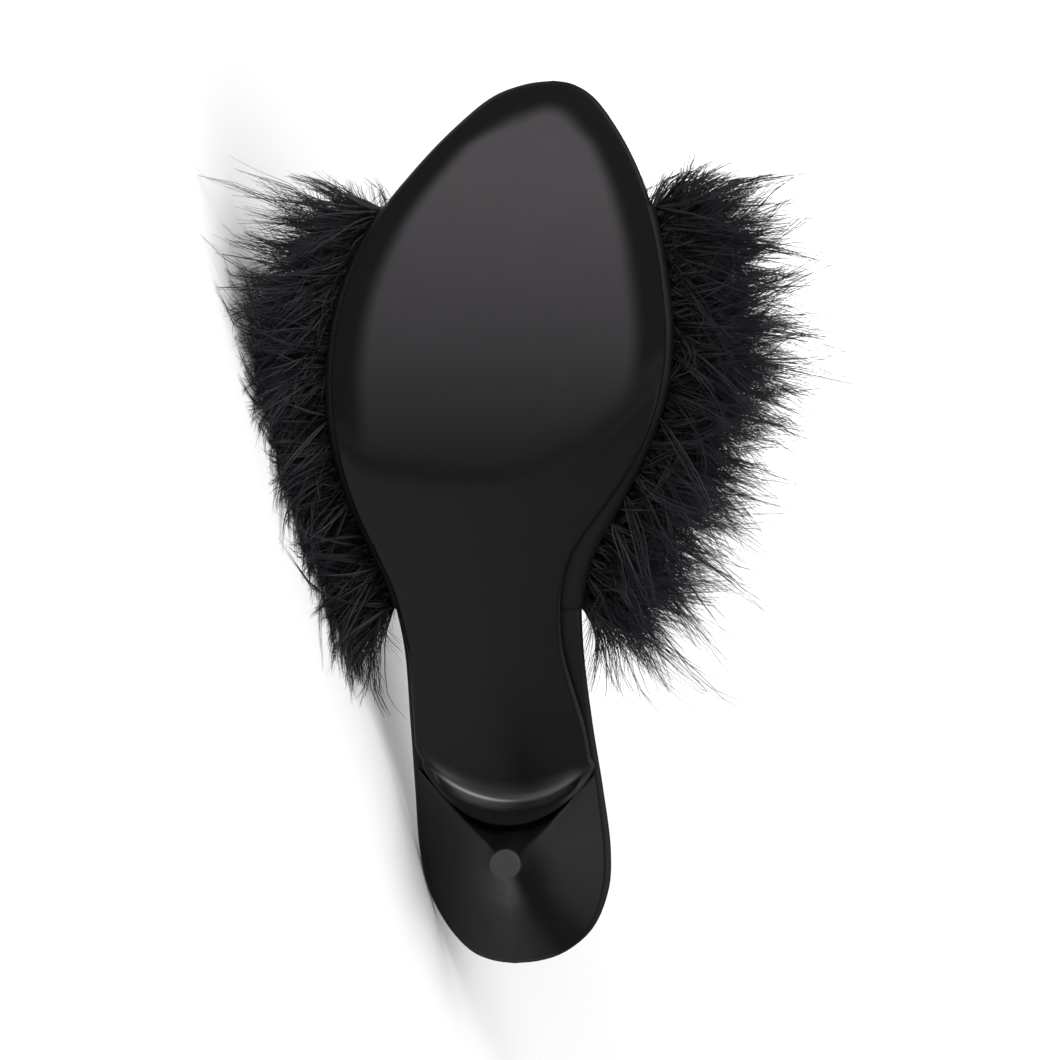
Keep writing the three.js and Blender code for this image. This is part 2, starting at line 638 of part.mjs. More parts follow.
// The down of all strips: each is a puff, and the down is thinnest between two of them.
function downSlab() {
  const near = UPPER_WALL / 2 + CLEARANCE;
  const crown = (turn, share) => {
    const puff = Math.abs(Math.sin(Math.PI * share * STRIPS.length));
    const around = Math.sin((Math.PI * (turn - DOWN_FROM)) / (DOWN_TO - DOWN_FROM));
    const full = THREE.MathUtils.lerp(VALLEY_DOWN, 1, puff) * Math.max(0, around) ** CROWN_POWER;
    return near + DOWN_DEPTH * THREE.MathUtils.lerp(SIDE_DOWN, 1, full);
  };
  const turns = even(DOWN_FROM, DOWN_TO, DOWN_TURNS);
  const shares = [-DOWN_OVERHANG, ...even(0, 1, 2 * STRIPS.length), 1 + DOWN_OVERHANG];
  return slabOverBand(turns, shares, () => near, crown, lockLean);
}

// The plane between two strips, which leans back as the band's edges do.
function partingPlane(share) {
  const foot = bandPoint(0, share, 0).point;
  const top = bandPoint(0.5, share, 0).point;
  const normal = new THREE.Vector3(top.z - foot.z, 0, foot.x - top.x).normalize();
  return new THREE.Plane(normal, -normal.dot(foot));
}

// The line that a lock follows: it leaves the band along its outward way, leans with its place
// in the row, bends more towards its tip, and turns aside where it meets the floor.
function lockPath(turn, share, seed, floor) {
  const root = bandPoint(turn, share, UPPER_WALL / 2 + CLEARANCE + LOCK_THICKNESS / 2);
  const heading = root.out.clone();
  heading.x += lockLean(share) + LOCK_SWAY * scatter(seed, 1);
  heading.normalize();
  const bend = new THREE.Vector3(scatter(seed, 2), scatter(seed, 3), scatter(seed, 4));
  const length = LOCK_LENGTH * (1 + LOCK_VARIATION * scatter(seed, 5)) - LOCK_THICKNESS / 2;
  const path = [root.point];
  for (let i = 1; i <= LOCK_STEPS; i += 1) {
    const next = path.at(-1).clone().addScaledVector(heading, length / LOCK_STEPS);
    const lowest = (LOCK_THICKNESS / 4) * (1 - i / LOCK_STEPS);
    const under = lowest - floor.distanceToPoint(next);
    if (under > 0) next.addScaledVector(floor.normal, under);
    path.push(next);
    heading.addScaledVector(bend, LOCK_BEND).normalize();
  }
  return path;
}

// One lock: a flat, tapering tube along its line.
function lock(turn, share, seed, floor) {
  const path = lockPath(turn, share, seed, floor);
  const last = path.length - 1;
  const around = new THREE.Vector3(LOCK_TWIST * scatter(seed, 6), 0, 0);
  const step = 0.02;
  const behind = bandPoint(turn - step, share, 0).point;
  around.add(bandPoint(turn + step, share, 0).point.sub(behind).normalize());
  return skin(
    path.map((point, i) => {
      const way = path[Math.min(last, i + 1)].clone().sub(path[Math.max(0, i - 1)]).normalize();
      const thin = new THREE.Vector3().crossVectors(way, around).normalize();
      const wide = new THREE.Vector3().crossVectors(thin, way);
      const taper = Math.sin(Math.PI * THREE.MathUtils.lerp(...LOCK_TAPER, i / last));
      wide.multiplyScalar((taper * LOCK_WIDTH) / 2);
      thin.multiplyScalar((taper * LOCK_THICKNESS) / 2);
      return [wide, thin, wide.clone().negate(), thin.clone().negate()].map((arm) => arm.add(point));
    }),
  );
}

// The strips, cut apart from one body of down and locks.
function marabouStrips(floor, neighbours) {
  const locks = [];
  for (let column = 0; column < LOCK_COLUMNS; column += 1) {
    const turn = THREE.MathUtils.lerp(DOWN_FROM, DOWN_TO, (column + 0.5) / LOCK_COLUMNS);
    const count = Math.round((bandAt(turn, 1) - bandAt(turn, 0)) / LOCK_SPACING);
    const stagger = column % 2 ? LOCK_STAGGER : -LOCK_STAGGER;
    for (let i = 0; i < count; i += 1) {
      locks.push(lock(turn, (i + 0.5 + stagger) / count, 9 * column + i + 1, floor));
    }
  }
  const ahead = (solid, { normal, constant }) =>
    solid.trimByPlane(normal.toArray(), CLEARANCE - constant);
  const marabou = wasm.Manifold.union([downSlab(), ...locks])
    .subtract(wasm.Manifold.union(neighbours))
    .trimByPlane(floor.normal.toArray(), -floor.constant);
  return STRIPS.map((_, i) => {
    const rear = i > 0 ? [partingPlane(i / STRIPS.length)] : [];
    const front = i < STRIPS.length - 1 ? [partingPlane((i + 1) / STRIPS.length).negate()] : [];
    return largest([...rear, ...front].reduce(ahead, marabou));
  });
}

// Fitting the pieces to each other

const insoleWhole = insoleSolid();
const upper = upperSolid();
const outsole = outsoleSolid();
const floor = floorUnder(insoleWhole);
const roomFor = [upperSolid, insoleSolid, outsoleSolid].map((solid) => solid(CLEARANCE));
const [upperRoom, insoleRoom, outsoleRoom] = roomFor;
const insole = largest(insoleWhole.subtract(upperRoom));
const heel = largest(heelBlank().subtract(insoleRoom).subtract(outsoleRoom));
const topPiece = topPieceSolid();
const strips = marabouStrips(floor, roomFor);

// Materials

const paint = (color, roughness) =>
  new THREE.MeshStandardMaterial({ color, roughness, metalness: 0 });
const SOLE_LEATHER = paint(0x2c2a2c, 0.5);
const HEEL_LACQUER = paint(0x141315, 0.2);
const TOP_PIECE_RUBBER = paint(0x3a383a, 0.6);
const LINING_LEATHER = paint(0x1c1b1d, 0.45);
const BAND_SATIN = paint(0x161518, 0.5);
const MARABOU_DOWN = paint(0x0c0c0f, 0.9);

// Assembly

function meshOf(name, solid, material) {
  const { numProp, numVert, vertProperties, triVerts } = solid.getMesh();
  const points = Array.from({ length: numVert }, (_, i) => {
    const at = i * numProp;
    return new THREE.Vector3(...vertProperties.subarray(at, at + 3));
  });
  const geometry = new THREE.BufferGeometry().setFromPoints(points);
  geometry.setIndex(Array.from(triVerts));
  geometry.computeVertexNormals();
  const mesh = new THREE.Mesh(geometry, material);
  mesh.name = name;
  return mesh;
}

const standing = new THREE.Group();
standing.add(
  meshOf("outsole", outsole, SOLE_LEATHER),
  meshOf("heel", heel, HEEL_LACQUER),
  meshOf("top_piece", topPiece, TOP_PIECE_RUBBER),
  meshOf("insole", insole, LINING_LEATHER),
  meshOf("upper_band", upper, BAND_SATIN),
  ...strips.map((strip, i) => meshOf(`marabou_${STRIPS[i]}_strip`, strip, MARABOU_DOWN)),
);

// Laying the shoe down: the floor's normal turns to +Z, the toe points to -X, and the sole
// faces -Y. The box round the shoe then stands on the floor over the origin.
const toeWay = new THREE.Vector3(1, 0, 0).projectOnPlane(floor.normal).normalize();
const right = toeWay.clone().negate();
const away = new THREE.Vector3().crossVectors(floor.normal, right);
const toRow = new THREE.Matrix4().makeBasis(right, away, floor.normal).transpose();
standing.setRotationFromMatrix(toRow);

const shoe = new THREE.Group();
shoe.add(standing);
shoe.updateMatrixWorld(true);
const box = new THREE.Box3().setFromObject(shoe, true);
const centre = box.getCenter(new THREE.Vector3());
standing.position.set(-centre.x, -centre.y, -box.min.z);

export default shoe;
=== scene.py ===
"""A black marabou mule for the right foot, lying on its outer side with its sole showing.

Every piece is shaped in the shoe's own standing frame, in millimetres: +X runs from the heel's
back to the toe, +Y to the inner side and +Z up, with the tread on Z = 0. A Pose then lays each
point on the floor, in metres.
"""

import logging
import math
from collections.abc import Callable, Sequence
from dataclasses import dataclass
from enum import Enum

import bmesh
import bpy
import numpy as np
from mathutils import Matrix, Vector


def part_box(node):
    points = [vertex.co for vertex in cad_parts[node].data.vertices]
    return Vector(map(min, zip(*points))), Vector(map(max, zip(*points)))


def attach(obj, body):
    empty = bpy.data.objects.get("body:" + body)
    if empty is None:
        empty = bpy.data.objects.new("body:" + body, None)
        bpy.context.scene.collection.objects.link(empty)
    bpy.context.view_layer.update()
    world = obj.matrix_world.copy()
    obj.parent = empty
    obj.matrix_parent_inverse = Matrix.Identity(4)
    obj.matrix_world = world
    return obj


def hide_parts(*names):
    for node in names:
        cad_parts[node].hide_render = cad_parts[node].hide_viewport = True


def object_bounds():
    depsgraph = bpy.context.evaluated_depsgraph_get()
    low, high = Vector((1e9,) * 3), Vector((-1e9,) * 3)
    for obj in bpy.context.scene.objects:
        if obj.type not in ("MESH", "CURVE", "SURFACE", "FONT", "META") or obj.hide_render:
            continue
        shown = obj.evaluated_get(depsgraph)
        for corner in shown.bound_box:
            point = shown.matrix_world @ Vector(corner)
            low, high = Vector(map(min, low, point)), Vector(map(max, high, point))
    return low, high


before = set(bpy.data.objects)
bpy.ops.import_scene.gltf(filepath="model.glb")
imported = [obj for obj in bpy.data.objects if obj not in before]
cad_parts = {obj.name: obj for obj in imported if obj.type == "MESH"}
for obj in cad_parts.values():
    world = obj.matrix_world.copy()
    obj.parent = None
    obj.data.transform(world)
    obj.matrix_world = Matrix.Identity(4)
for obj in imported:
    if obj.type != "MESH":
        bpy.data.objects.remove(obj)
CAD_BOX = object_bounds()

Array = np.ndarray
Span = tuple[float, float]
Spot = tuple[float, float, float]
Shaped = tuple[Array, dict[str, Array]]
Piece = bpy.types.Object
Material = bpy.types.Material
Tree = bpy.types.NodeTree
Socket = bpy.types.NodeSocket

LOG = logging.getLogger("marabou_mule")
MM = 0.001

# The shoe's driving sizes, in millimetres. The ball's and the spring's places are shares of the
# length.
LENGTH = 245.0
BALL_POSITION = 0.65
BALL_WIDTH = 94.0
WAIST_WIDTH = 50.0
SEAT_WIDTH = 54.0
HEEL_HEIGHT = 50.0
TOE_SPRING = 5.0
SPRING_FROM = 0.8
SPRING_SPAN = 0.2
FOREPART_THICKNESS = 4.0
WAIST_THICKNESS = 2.4
SOLE_INSET = 1.2
WAIST_INSET = 5.5
INSOLE_THICKNESS = 4.6
BREAST_POSITION = 45.0
BREAST_SCOOP = 12.0
BREAST_RAKE = 11.0
BEND_RADIUS = 6.0
LIP_LENGTH = 17.0
LIP_WIDTH = 49.0
LIP_THICKNESS = 1.6
LIP_BLEND = 6.0
TIP_POSITION = 31.0
TIP_DIAMETER = 8.2
TOP_PIECE_HEIGHT = 5.0
HEEL_INSET = 1.7
UPPER_WALL = 1.6
LASTING_MARGIN = 9.0
INSTEP_HEIGHT = 60.0
BAND_REAR = 100.0
BAND_FRONT = 211.0
THROAT_DEPTH = 46.0
PEEP_DEPTH = 12.0
PRESSED_TRIM = 20.0
SIDE_LEAN = math.radians(9.0)
CLEARANCE = 0.3


@dataclass(frozen=True)
class PlanRow:
    """The insole's plan at one place: its sides as shares of a named width."""

    at: float
    of: float
    outer: float
    inner: float


# The plan from the heel to the toe: a place, and how far the outer and the inner side reach
OUTLINE = tuple(
    PlanRow(at, of, outer, inner)
    for of, table in (
        (SEAT_WIDTH, (
            (0, 0, 0), (0.003, 0.108, 0.128), (0.013, 0.22, 0.26), (0.04, 0.34, 0.405),
            (0.085, 0.45, 0.49), (0.13, 0.495, 0.502), (0.2, 0.515, 0.465),
        )),
        (WAIST_WIDTH, (
            (0.28, 0.575, 0.445), (0.37, 0.598, 0.402), (0.43, 0.665, 0.406),
        )),
        (BALL_WIDTH, (
            (0.475, 0.402, 0.25), (0.52, 0.455, 0.316), (0.58, 0.501, 0.397), (0.64, 0.519, 0.456),
            (0.7, 0.513, 0.481), (0.77, 0.472, 0.47), (0.84, 0.386, 0.438), (0.9, 0.265, 0.386),
            (0.95, 0.141, 0.317), (0.983, 0.035, 0.25), (0.9967, -0.063, 0.189), (1, -0.137, 0.137),
        )),
    )
    for at, outer, inner in table
)

# Pairs of a share of the length and a share of the rise, or of the instep's height
RISE = (
    (0, 1), (0.1, 0.985), (0.19, 0.925), (0.28, 0.78), (0.38, 0.555),
    (0.48, 0.33), (0.57, 0.15), (0.64, 0.045), (0.7, 0), (1, 0),
)
FOOT_HEIGHT = (
    (0.34, 1.04), (0.45, 1), (0.55, 0.93), (0.65, 0.8), (0.75, 0.64), (0.85, 0.5), (0.95, 0.41),
)
# The tread's rear edge: a share of the half width, and the share of the length where it lies
TREAD_REAR = ((-1, 0.605), (-0.6, 0.567), (0, 0.56), (0.5, 0.585), (1, 0.68))
# How fast the heel draws in, by the turn from its front to its back
FLARE = ((0, 1.35), (0.25, 2.6), (0.5, 2.4), (1, 1.75))


class TableCurve:
    """A smooth curve through a table's points: a centripetal spline, sampled once."""

    def __init__(self, points: Sequence[Span], per_span: int = 24) -> None:
        """Samples the spline.

        Args:
            points: Pairs of a place and a value, with the places rising.
            per_span: Samples between two points.
        """
        knots = np.array(points, dtype=float)
        first = 2 * knots[0] - knots[1]
        last = 2 * knots[-1] - knots[-2]
        padded = np.vstack([first, knots, last])
        samples = []
        for a, b, c, d in zip(padded, padded[1:], padded[2:], padded[3:]):
            gap_a, gap_b, gap_c = (max(1e-4, math.dist(p, q)) ** 0.5 for p, q in ((a, b), (b, c), (c, d)))
            out = ((b - a) / gap_a - (c - a) / (gap_a + gap_b) + (c - b) / gap_b) * gap_b
            into = ((c - b) / gap_b - (d - b) / (gap_b + gap_c) + (d - c) / gap_c) * gap_b
            t = np.linspace(0, 1, per_span, endpoint=False)[:, None]
            cube = 2 * b - 2 * c + out + into
            square = -3 * b + 3 * c - 2 * out - into
            samples.append(cube * t**3 + square * t**2 + out * t + b)
        curve = np.vstack([*samples, knots[-1:]])
        self.places, self.values = curve[:, 0], curve[:, 1]

    def __call__(self, place: Array | float) -> Array:
        """Returns the value at each place."""
        return np.interp(place, self.places, self.values)


def smooth(value: Array | float, low: float | Array, high: float | Array) -> Array:
    """Returns 0 below low and 1 above high, with a soft step between them."""
    share = np.clip((value - low) / (high - low), 0, 1)
    return share * share * (3 - 2 * share)


def blend(a: Array | float, b: Array | float, share: Array | float) -> Array:
    """Returns the mix of a and b, with share 1 for all of b."""
    return a + (b - a) * share


def unit(vectors: Array) -> Array:
    """Returns each row of an array as a vector of length 1."""
    length = np.linalg.norm(vectors, axis=-1, keepdims=True)
    return vectors / np.maximum(length, 1e-9)


def joined(*parts: Array) -> Array:
    """Returns arrays of coordinates as one array of points."""
    return np.stack(np.broadcast_arrays(*parts), axis=-1)


class Last:
    """The shoe's plan and profile, which every piece takes its shape from."""

    def __init__(self) -> None:
        """Draws the curves through the tables."""
        self.outer = TableCurve([(row.at * LENGTH, -row.outer * row.of) for row in OUTLINE])
        self.inner = TableCurve([(row.at * LENGTH, row.inner * row.of) for row in OUTLINE])
        self.rise = TableCurve([(at * LENGTH, up) for at, up in RISE])
        self.foot = TableCurve([(at * LENGTH, up) for at, up in FOOT_HEIGHT])
        self.tread_rear = TableCurve([(across, at * LENGTH) for across, at in TREAD_REAR])

    def middle(self, x: Array | float) -> Array:
        """Returns the plan's middle line."""
        return (self.outer(x) + self.inner(x)) / 2

    def half(self, x: Array | float) -> Array:
        """Returns half the plan's width."""
        return (self.inner(x) - self.outer(x)) / 2

    def underside(self, x: Array | float) -> Array:
        """Returns the height of the insole's underside over the ground."""
        ball = FOREPART_THICKNESS + CLEARANCE
        spring = TOE_SPRING * np.maximum(0, (x / LENGTH - SPRING_FROM) / SPRING_SPAN) ** 2
        return ball + (HEEL_HEIGHT - ball) * self.rise(x) + spring

    def outside(self, x: Array, y: Array) -> Array:
        """Returns how far a point lies outside the plan, and less than 0 inside it."""
        return np.maximum(self.outer(x) - y, y - self.inner(x))


class Pose:
    """Lays the standing shoe on its outer side, on the floor."""

    def __init__(self, last: Last, rim: Array) -> None:
        """Finds the floor under the shoe, and the turn that lays the shoe on it.

        Args:
            last: The shoe's plan and profile.
            rim: Points of the insole's rim.
        """
        ball = BALL_POSITION * LENGTH
        pressed = np.array([ball, last.outer(ball) - PRESSED_TRIM, last.underside(ball)])
        flat, steep = 0.0, 1.0
        for _ in range(40):
            slope = (flat + steep) / 2
            up = unit(np.array([slope, 1, -math.tan(SIDE_LEAN)]))
            flat, steep = (slope, steep) if (rim @ up).min() > pressed @ up else (flat, slope)
        toe_way = unit(np.array([1.0, 0, 0]) - up[0] * up)
        self.turn = np.array([-toe_way, np.cross(up, -toe_way), up])
        low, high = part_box("top_piece")
        middle = (Vector(low) + Vector(high)) / 2
        tip = np.array([TIP_POSITION, last.middle(TIP_POSITION), TOP_PIECE_HEIGHT / 2])
        self.shift = np.array(middle) / MM - self.turn @ tip
        self.shift[2] = -(rim @ up).min()

    def laid(self, points: Array) -> Array:
        """Returns points of the standing shoe where they lie over the floor, in millimetres."""
        return points @ self.turn.T + self.shift

    def place(self, *point: float) -> Vector:
        """Returns one point of the standing shoe as it lies, in metres."""
        return Vector(self.laid(np.array(point)) * MM)

    def way(self, *direction: float) -> Vector:
        """Returns one direction of the standing shoe as it lies."""
        return Vector(self.turn @ np.array(direction))


Form = Callable[[Array, Array], Shaped]


def formed(name: str, columns: int, rows: int, form: Form, pose: Pose) -> Piece:
    """Makes a closed piece by wrapping a grid over a form.

    Args:
        name: The piece's name.
        columns: The grid's faces along its first way.
        rows: The grid's faces along its second way.
        form: Gives the points, and named values for materials, for shares of both ways.
        pose: Lays the points on the floor.

    Returns:
        The piece, which rides on the shoe.
    """
    shell = bmesh.new()
    bmesh.ops.create_grid(shell, x_segments=columns, y_segments=rows, size=0.5)
    shares = np.array([vert.co[:2] for vert in shell.verts]) + 0.5
    points, values = form(shares[:, 0], shares[:, 1])
    laid = pose.laid(points) * MM
    layers = {key: shell.verts.layers.float.new(key) for key in values}
    for index, vert in enumerate(shell.verts):
        vert.co = laid[index]
        for key, layer in layers.items():
            vert[layer] = float(values[key][index])
    bmesh.ops.remove_doubles(shell, verts=shell.verts, dist=3e-6)
    bmesh.ops.recalc_face_normals(shell, faces=shell.faces)
    mesh = bpy.data.meshes.new(name)
    shell.to_mesh(mesh)
    shell.free()
    mesh.shade_smooth()
    return on_shoe(bpy.data.objects.new(name, mesh))


def on_shoe(piece: Piece) -> Piece:
    """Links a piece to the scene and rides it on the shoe."""
    bpy.context.collection.objects.link(piece)
    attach(piece, "root")
    LOG.info("%s: %d faces", piece.name, len(piece.data.polygons))
    return piece


@dataclass(frozen=True)
class Plate:
    """A plate in plan: its sides, its ends, and the spine that its rings close on."""

    outer: Callable[[Array], Array]
    inner: Callable[[Array], Array]
    start: float
    end: float
    spine_from: float
    spine_to: float
    inset: Callable[[Array, Array], Array] = lambda x, side: 0 * x

    def spot(self, around: Array, across: Array) -> tuple[Array, Array, Array]:
        """Finds points of the plate.

        Args:
            around: The share of the way round, out along the outer side and back along the inner.
            across: 0 on the rim and 1 on the spine.

        Returns:
            Each point's two coordinates, and its distance from the rim.
        """
        side = np.where(around < 0.5, -1.0, 1.0)
        turn = 2 * np.minimum(around, 1 - around)
        x = self.start + (self.end - self.start) * (1 - np.cos(np.pi * turn)) / 2
        at = np.clip(x, self.spine_from, self.spine_to)
        spine = joined(at, (self.outer(at) + self.inner(at)) / 2)
        out = joined(x, np.where(side < 0, self.outer(x), self.inner(x))) - spine
        reach = np.linalg.norm(out, axis=-1) - self.inset(x, side)
        point = spine + unit(out) * (reach * (1 - across))[:, None]
        return point[:, 0], point[:, 1], reach * across


def plate_shares(through: Array) -> tuple[Array, Array]:
    """Splits the way through a plate, from its bottom's middle over its rim to its top's.

    Args:
        through: 0 in the bottom's middle, 0.5 on the rim and 1 in the top's middle.

    Returns:
        1 above and -1 below, and the share from the rim to the spine, finest at the rim.
    """
    away = np.abs(2 * through - 1)
    return np.where(through < 0.5, -1.0, 1.0), away**2.2


def edge_fall(distance: Array, radius: float | Array) -> Array:
    """Returns how far a rounded edge falls back at a distance from the rim."""
    into = np.clip(radius - distance, 0, radius)
    return radius - np.sqrt(radius * radius - into * into)


@dataclass(frozen=True)
class Insole:
    """The leather-wrapped footbed."""

    last: Last
    edge_radius: float = 1.7
    cup: float = 1.6
    name: str = "footbed"

    def form(self, around: Array, through: Array) -> Shaped:
        """Returns the footbed's points."""
        plate = Plate(self.last.outer, self.last.inner, 0, LENGTH, SEAT_WIDTH / 2, LENGTH - BALL_WIDTH / 5)
        side, across = plate_shares(through)
        x, y, distance = plate.spot(around, across)
        cup = self.cup * smooth(distance, 0, SEAT_WIDTH / 3) * (1 - smooth(x / LENGTH, 0.15, 0.4))
        fall = edge_fall(distance, self.edge_radius)
        under = self.last.underside(x) + fall + self.margin_recess(x, distance)
        over = self.last.underside(x) + INSOLE_THICKNESS - fall - cup
        return joined(x, y, np.where(side < 0, under, over)), {}

    def margin_recess(self, x: Array, distance: Array) -> Array:
        """Returns how deep the underside is let in for the band's margins."""
        behind = 1 - smooth(x, BAND_FRONT + 0.4, BAND_FRONT + 1.5)
        along = smooth(x, BAND_REAR - 1.5, BAND_REAR - 0.4) * behind
        inward = 1 - smooth(distance, LASTING_MARGIN - 0.5, LASTING_MARGIN + 1)
        return (UPPER_WALL + CLEARANCE) * along * inward

    def rim_points(self) -> Array:
        """Returns points over the footbed's rim."""
        around, through = np.meshgrid(np.linspace(0, 1, 400), np.linspace(0.3, 0.7, 41))
        return self.form(around.ravel(), through.ravel())[0]

    def build(self, pose: Pose) -> Piece:
        """Makes the footbed in the insole's place."""
        piece = formed(self.name, 260, 56, self.form, pose)
        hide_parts("insole")
        return piece


@dataclass(frozen=True)
class Outsole:
    """The leather sole: a domed tread, a thin waist and a lip that turns down the heel.

    The distances are in millimetres. The places along the shoe are shares of its length.
    """

    last: Last
    tread_edge: float = 9.0
    tread_roll: float = 1.6
    waist_edge: float = 1.3
    crown: float = 0.9
    waist_in: Span = (0.27, 0.38)
    waist_out: Span = (0.46, 0.6)
    # The rim band, the tread's rear line and the lower lip are darkened as painted shade, the rim partly
    # as edge ink; the buff runs paler towards the toe, partly as a painted light.
    dark_rim: Span = (5, 11)
    buff_and_light_from: float = 0.575
    buff_and_light_span: float = 0.31
    rear_shade: float = 0.75
    shaded_dull_lip: Span = (7, 12)
    polished_lip: Span = (-9, -5)
    polished_waist: Span = (2, 8)
    polished_rim: Span = (2, 7)
    name: str = "leather_sole"

    def scoop(self, y: Array | float) -> Array:
        """Returns how much further forward the heel's front face stands than at its middle."""
        across = (y - self.last.middle(BREAST_POSITION)) / (SEAT_WIDTH / 2)
        return BREAST_SCOOP * np.minimum(1, across * across)

    def along(self, ahead: Array | float, scooped: Array | float) -> Array:
        """Returns where a point of the sheet lies along the shoe."""
        return BREAST_POSITION + ahead + scooped * (1 - smooth(ahead, 0, 4 * BREAST_SCOOP))

    def sheet(self, ahead: Array, y: Array) -> Array:
        """Returns points of the sole's upper face.

        Args:
            ahead: The distance ahead of the heel's front face, and less than 0 on the lip.
            y: The distance towards the inner side.
        """
        corner = self.along(0.0, self.scoop(y))

        def on_sole(distance: Array | float) -> Array:
            """Returns points under the insole, at a distance ahead of the bend's corner."""
            x = self.along(distance, self.scoop(y))
            return joined(x, y, self.last.underside(x) - CLEARANCE)

        def on_breast(depth: Array | float) -> Array:
            """Returns points down the heel's front face, at a depth under the bend's corner."""
            height = self.last.underside(corner) - CLEARANCE - depth
            return joined(corner - self.receded(depth), y, height)

        share = np.clip((BEND_RADIUS - ahead) / (2 * BEND_RADIUS), 0, 1)[:, None]
        before = blend(on_sole(BEND_RADIUS), on_sole(0.0), share)
        after = blend(on_sole(0.0), on_breast(BEND_RADIUS), share)
        bend = blend(before, after, share)
        flat = np.where((ahead > BEND_RADIUS)[:, None], on_sole(np.maximum(ahead, 0)), bend)
        return np.where((ahead < -BEND_RADIUS)[:, None], on_breast(np.maximum(-ahead, 0)), flat)

    def receded(self, depth: Array | float) -> Array:
        """Returns how far the heel's front face has receded at a depth under the seat."""
        return BREAST_RAKE * (np.maximum(0, depth) / (HEEL_HEIGHT - TOP_PIECE_HEIGHT)) ** 0.8

    def normal(self, ahead: Array, y: Array) -> Array:
        """Returns the way that faces the insole and the heel, at points of the sheet."""
        step = 0.5
        along = self.sheet(ahead + step, y) - self.sheet(ahead - step, y)
        across = self.sheet(ahead, y + step) - self.sheet(ahead, y - step)
        return unit(np.cross(along, across))

    def tread(self, x: Array, y: Array, softness: float) -> Array:
        """Returns 1 on the tread and 0 behind it, with a step of the given softness."""
        across = np.clip((y - self.last.middle(x)) / self.last.half(x), -1, 1)
        rear = self.last.tread_rear(across)
        return smooth(x, rear - softness, rear + softness)

    def side(self, edge: TableCurve, towards: int) -> Callable[[Array], Array]:
        """Returns one side of the sheet, which runs from the lip's to the insole's."""

        def place(ahead: Array) -> Array:
            """Returns where the side lies across the shoe."""
            down = np.clip(-ahead / LIP_LENGTH, 0, 1)
            lip = self.last.middle(BREAST_POSITION) + towards * LIP_WIDTH * np.sqrt(1 - down) / 2
            x = np.minimum(self.along(ahead, BREAST_SCOOP), LENGTH)
            return blend(lip, edge(x), smooth(ahead, 0, LIP_BLEND))

        return place

    def inset(self, ahead: Array, side: Array) -> Array:
        """Returns how far inside the insole's outline the sole runs."""
        at = self.along(ahead, BREAST_SCOOP) / LENGTH
        waist = (side > 0) * smooth(at, *self.waist_in) * (1 - smooth(at, *self.waist_out))
        return smooth(ahead, 0, LIP_BLEND) * blend(SOLE_INSET, WAIST_INSET, waist)

    def form(self, around: Array, through: Array) -> Shaped:
        """Returns the sole's points, and the finish at each."""
        toe = LENGTH - BREAST_POSITION
        plate = Plate(
            self.side(self.last.outer, -1), self.side(self.last.inner, 1),
            -LIP_LENGTH, toe, -LIP_LENGTH / 2, toe - BALL_WIDTH / 5, self.inset,
        )
        side, across = plate_shares(through)
        ahead, y, distance = plate.spot(around, across)
        x = self.along(ahead, self.scoop(y))
        tread = self.tread(x, y, 6)
        lip = 1 - smooth(ahead, -BEND_RADIUS, BEND_RADIUS)
        thickness = blend(blend(WAIST_THICKNESS, LIP_THICKNESS, lip), FOREPART_THICKNESS, tread)
        across = np.clip((y - self.last.middle(x)) / self.last.half(x), -1, 1)
        thickness = thickness + self.crown * (1 - lip) * (1 - tread) * (1 - across * across)
        roll = self.tread_roll * tread * np.clip(1 - distance / self.tread_edge, 0, 1) ** 2
        fall = np.minimum(edge_fall(distance, self.waist_edge) + roll, 0.7 * thickness)
        depth = np.where(side < 0, thickness - fall, 0)
        points = self.sheet(ahead, y) - self.normal(ahead, y) * depth[:, None]
        return points, self.finish(ahead, x, y, distance)

    def finish(self, ahead: Array, x: Array, y: Array, distance: Array) -> dict[str, Array]:
        """Finds how the leather is finished.

        Args:
            ahead: The distance ahead of the heel's front face, and less than 0 on the lip.
            x: The distance along the shoe.
            y: The distance towards the inner side.
            distance: The distance from the rim.

        Returns:
            Shares for the buffed tread, which runs paler towards the toe partly as a painted
            light; for the rim, darkened partly as edge ink and partly as painted shade; for the
            tread's rear line and the lower lip, darkened as painted shade, the lip also dulled;
            and for the polished bend over the heel's front edge.
        """
        near, far = self.dark_rim
        tread = smooth(distance, near - 0.5, far) * self.tread(x - 4, y, 9)
        # The buff runs paler towards the toe: partly real buffing, partly a painted light from the toe
        # side.
        worn = np.clip((x / LENGTH - self.buff_and_light_from) / self.buff_and_light_span, 0, 1)
        # The rim band darkens partly as edge ink and partly as painted shade; the tread's rear line and
        # the lower lip are painted shade, and the lip is dulled too.
        rim = (1 - smooth(distance, near, far)) * self.tread(x - 3, y, 8)
        rear = self.tread(x - 1, y, 7)
        line = self.rear_shade * 4 * rear * (1 - rear)
        inked_and_shaded = np.maximum(np.maximum(rim, line), smooth(-ahead, *self.shaded_dull_lip))
        bent = smooth(ahead, *self.polished_lip) * (1 - smooth(ahead, *self.polished_waist))
        bent = bent * smooth(distance, *self.polished_rim)
        return {"buff_and_toe_light": tread * worn, "inked_and_shaded": inked_and_shaded, "bent": bent}

    def build(self, pose: Pose) -> Piece:
        """Makes the sole in the outsole's place."""
        piece = formed(self.name, 300, 70, self.form, pose)
        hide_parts("outsole")
        return piece


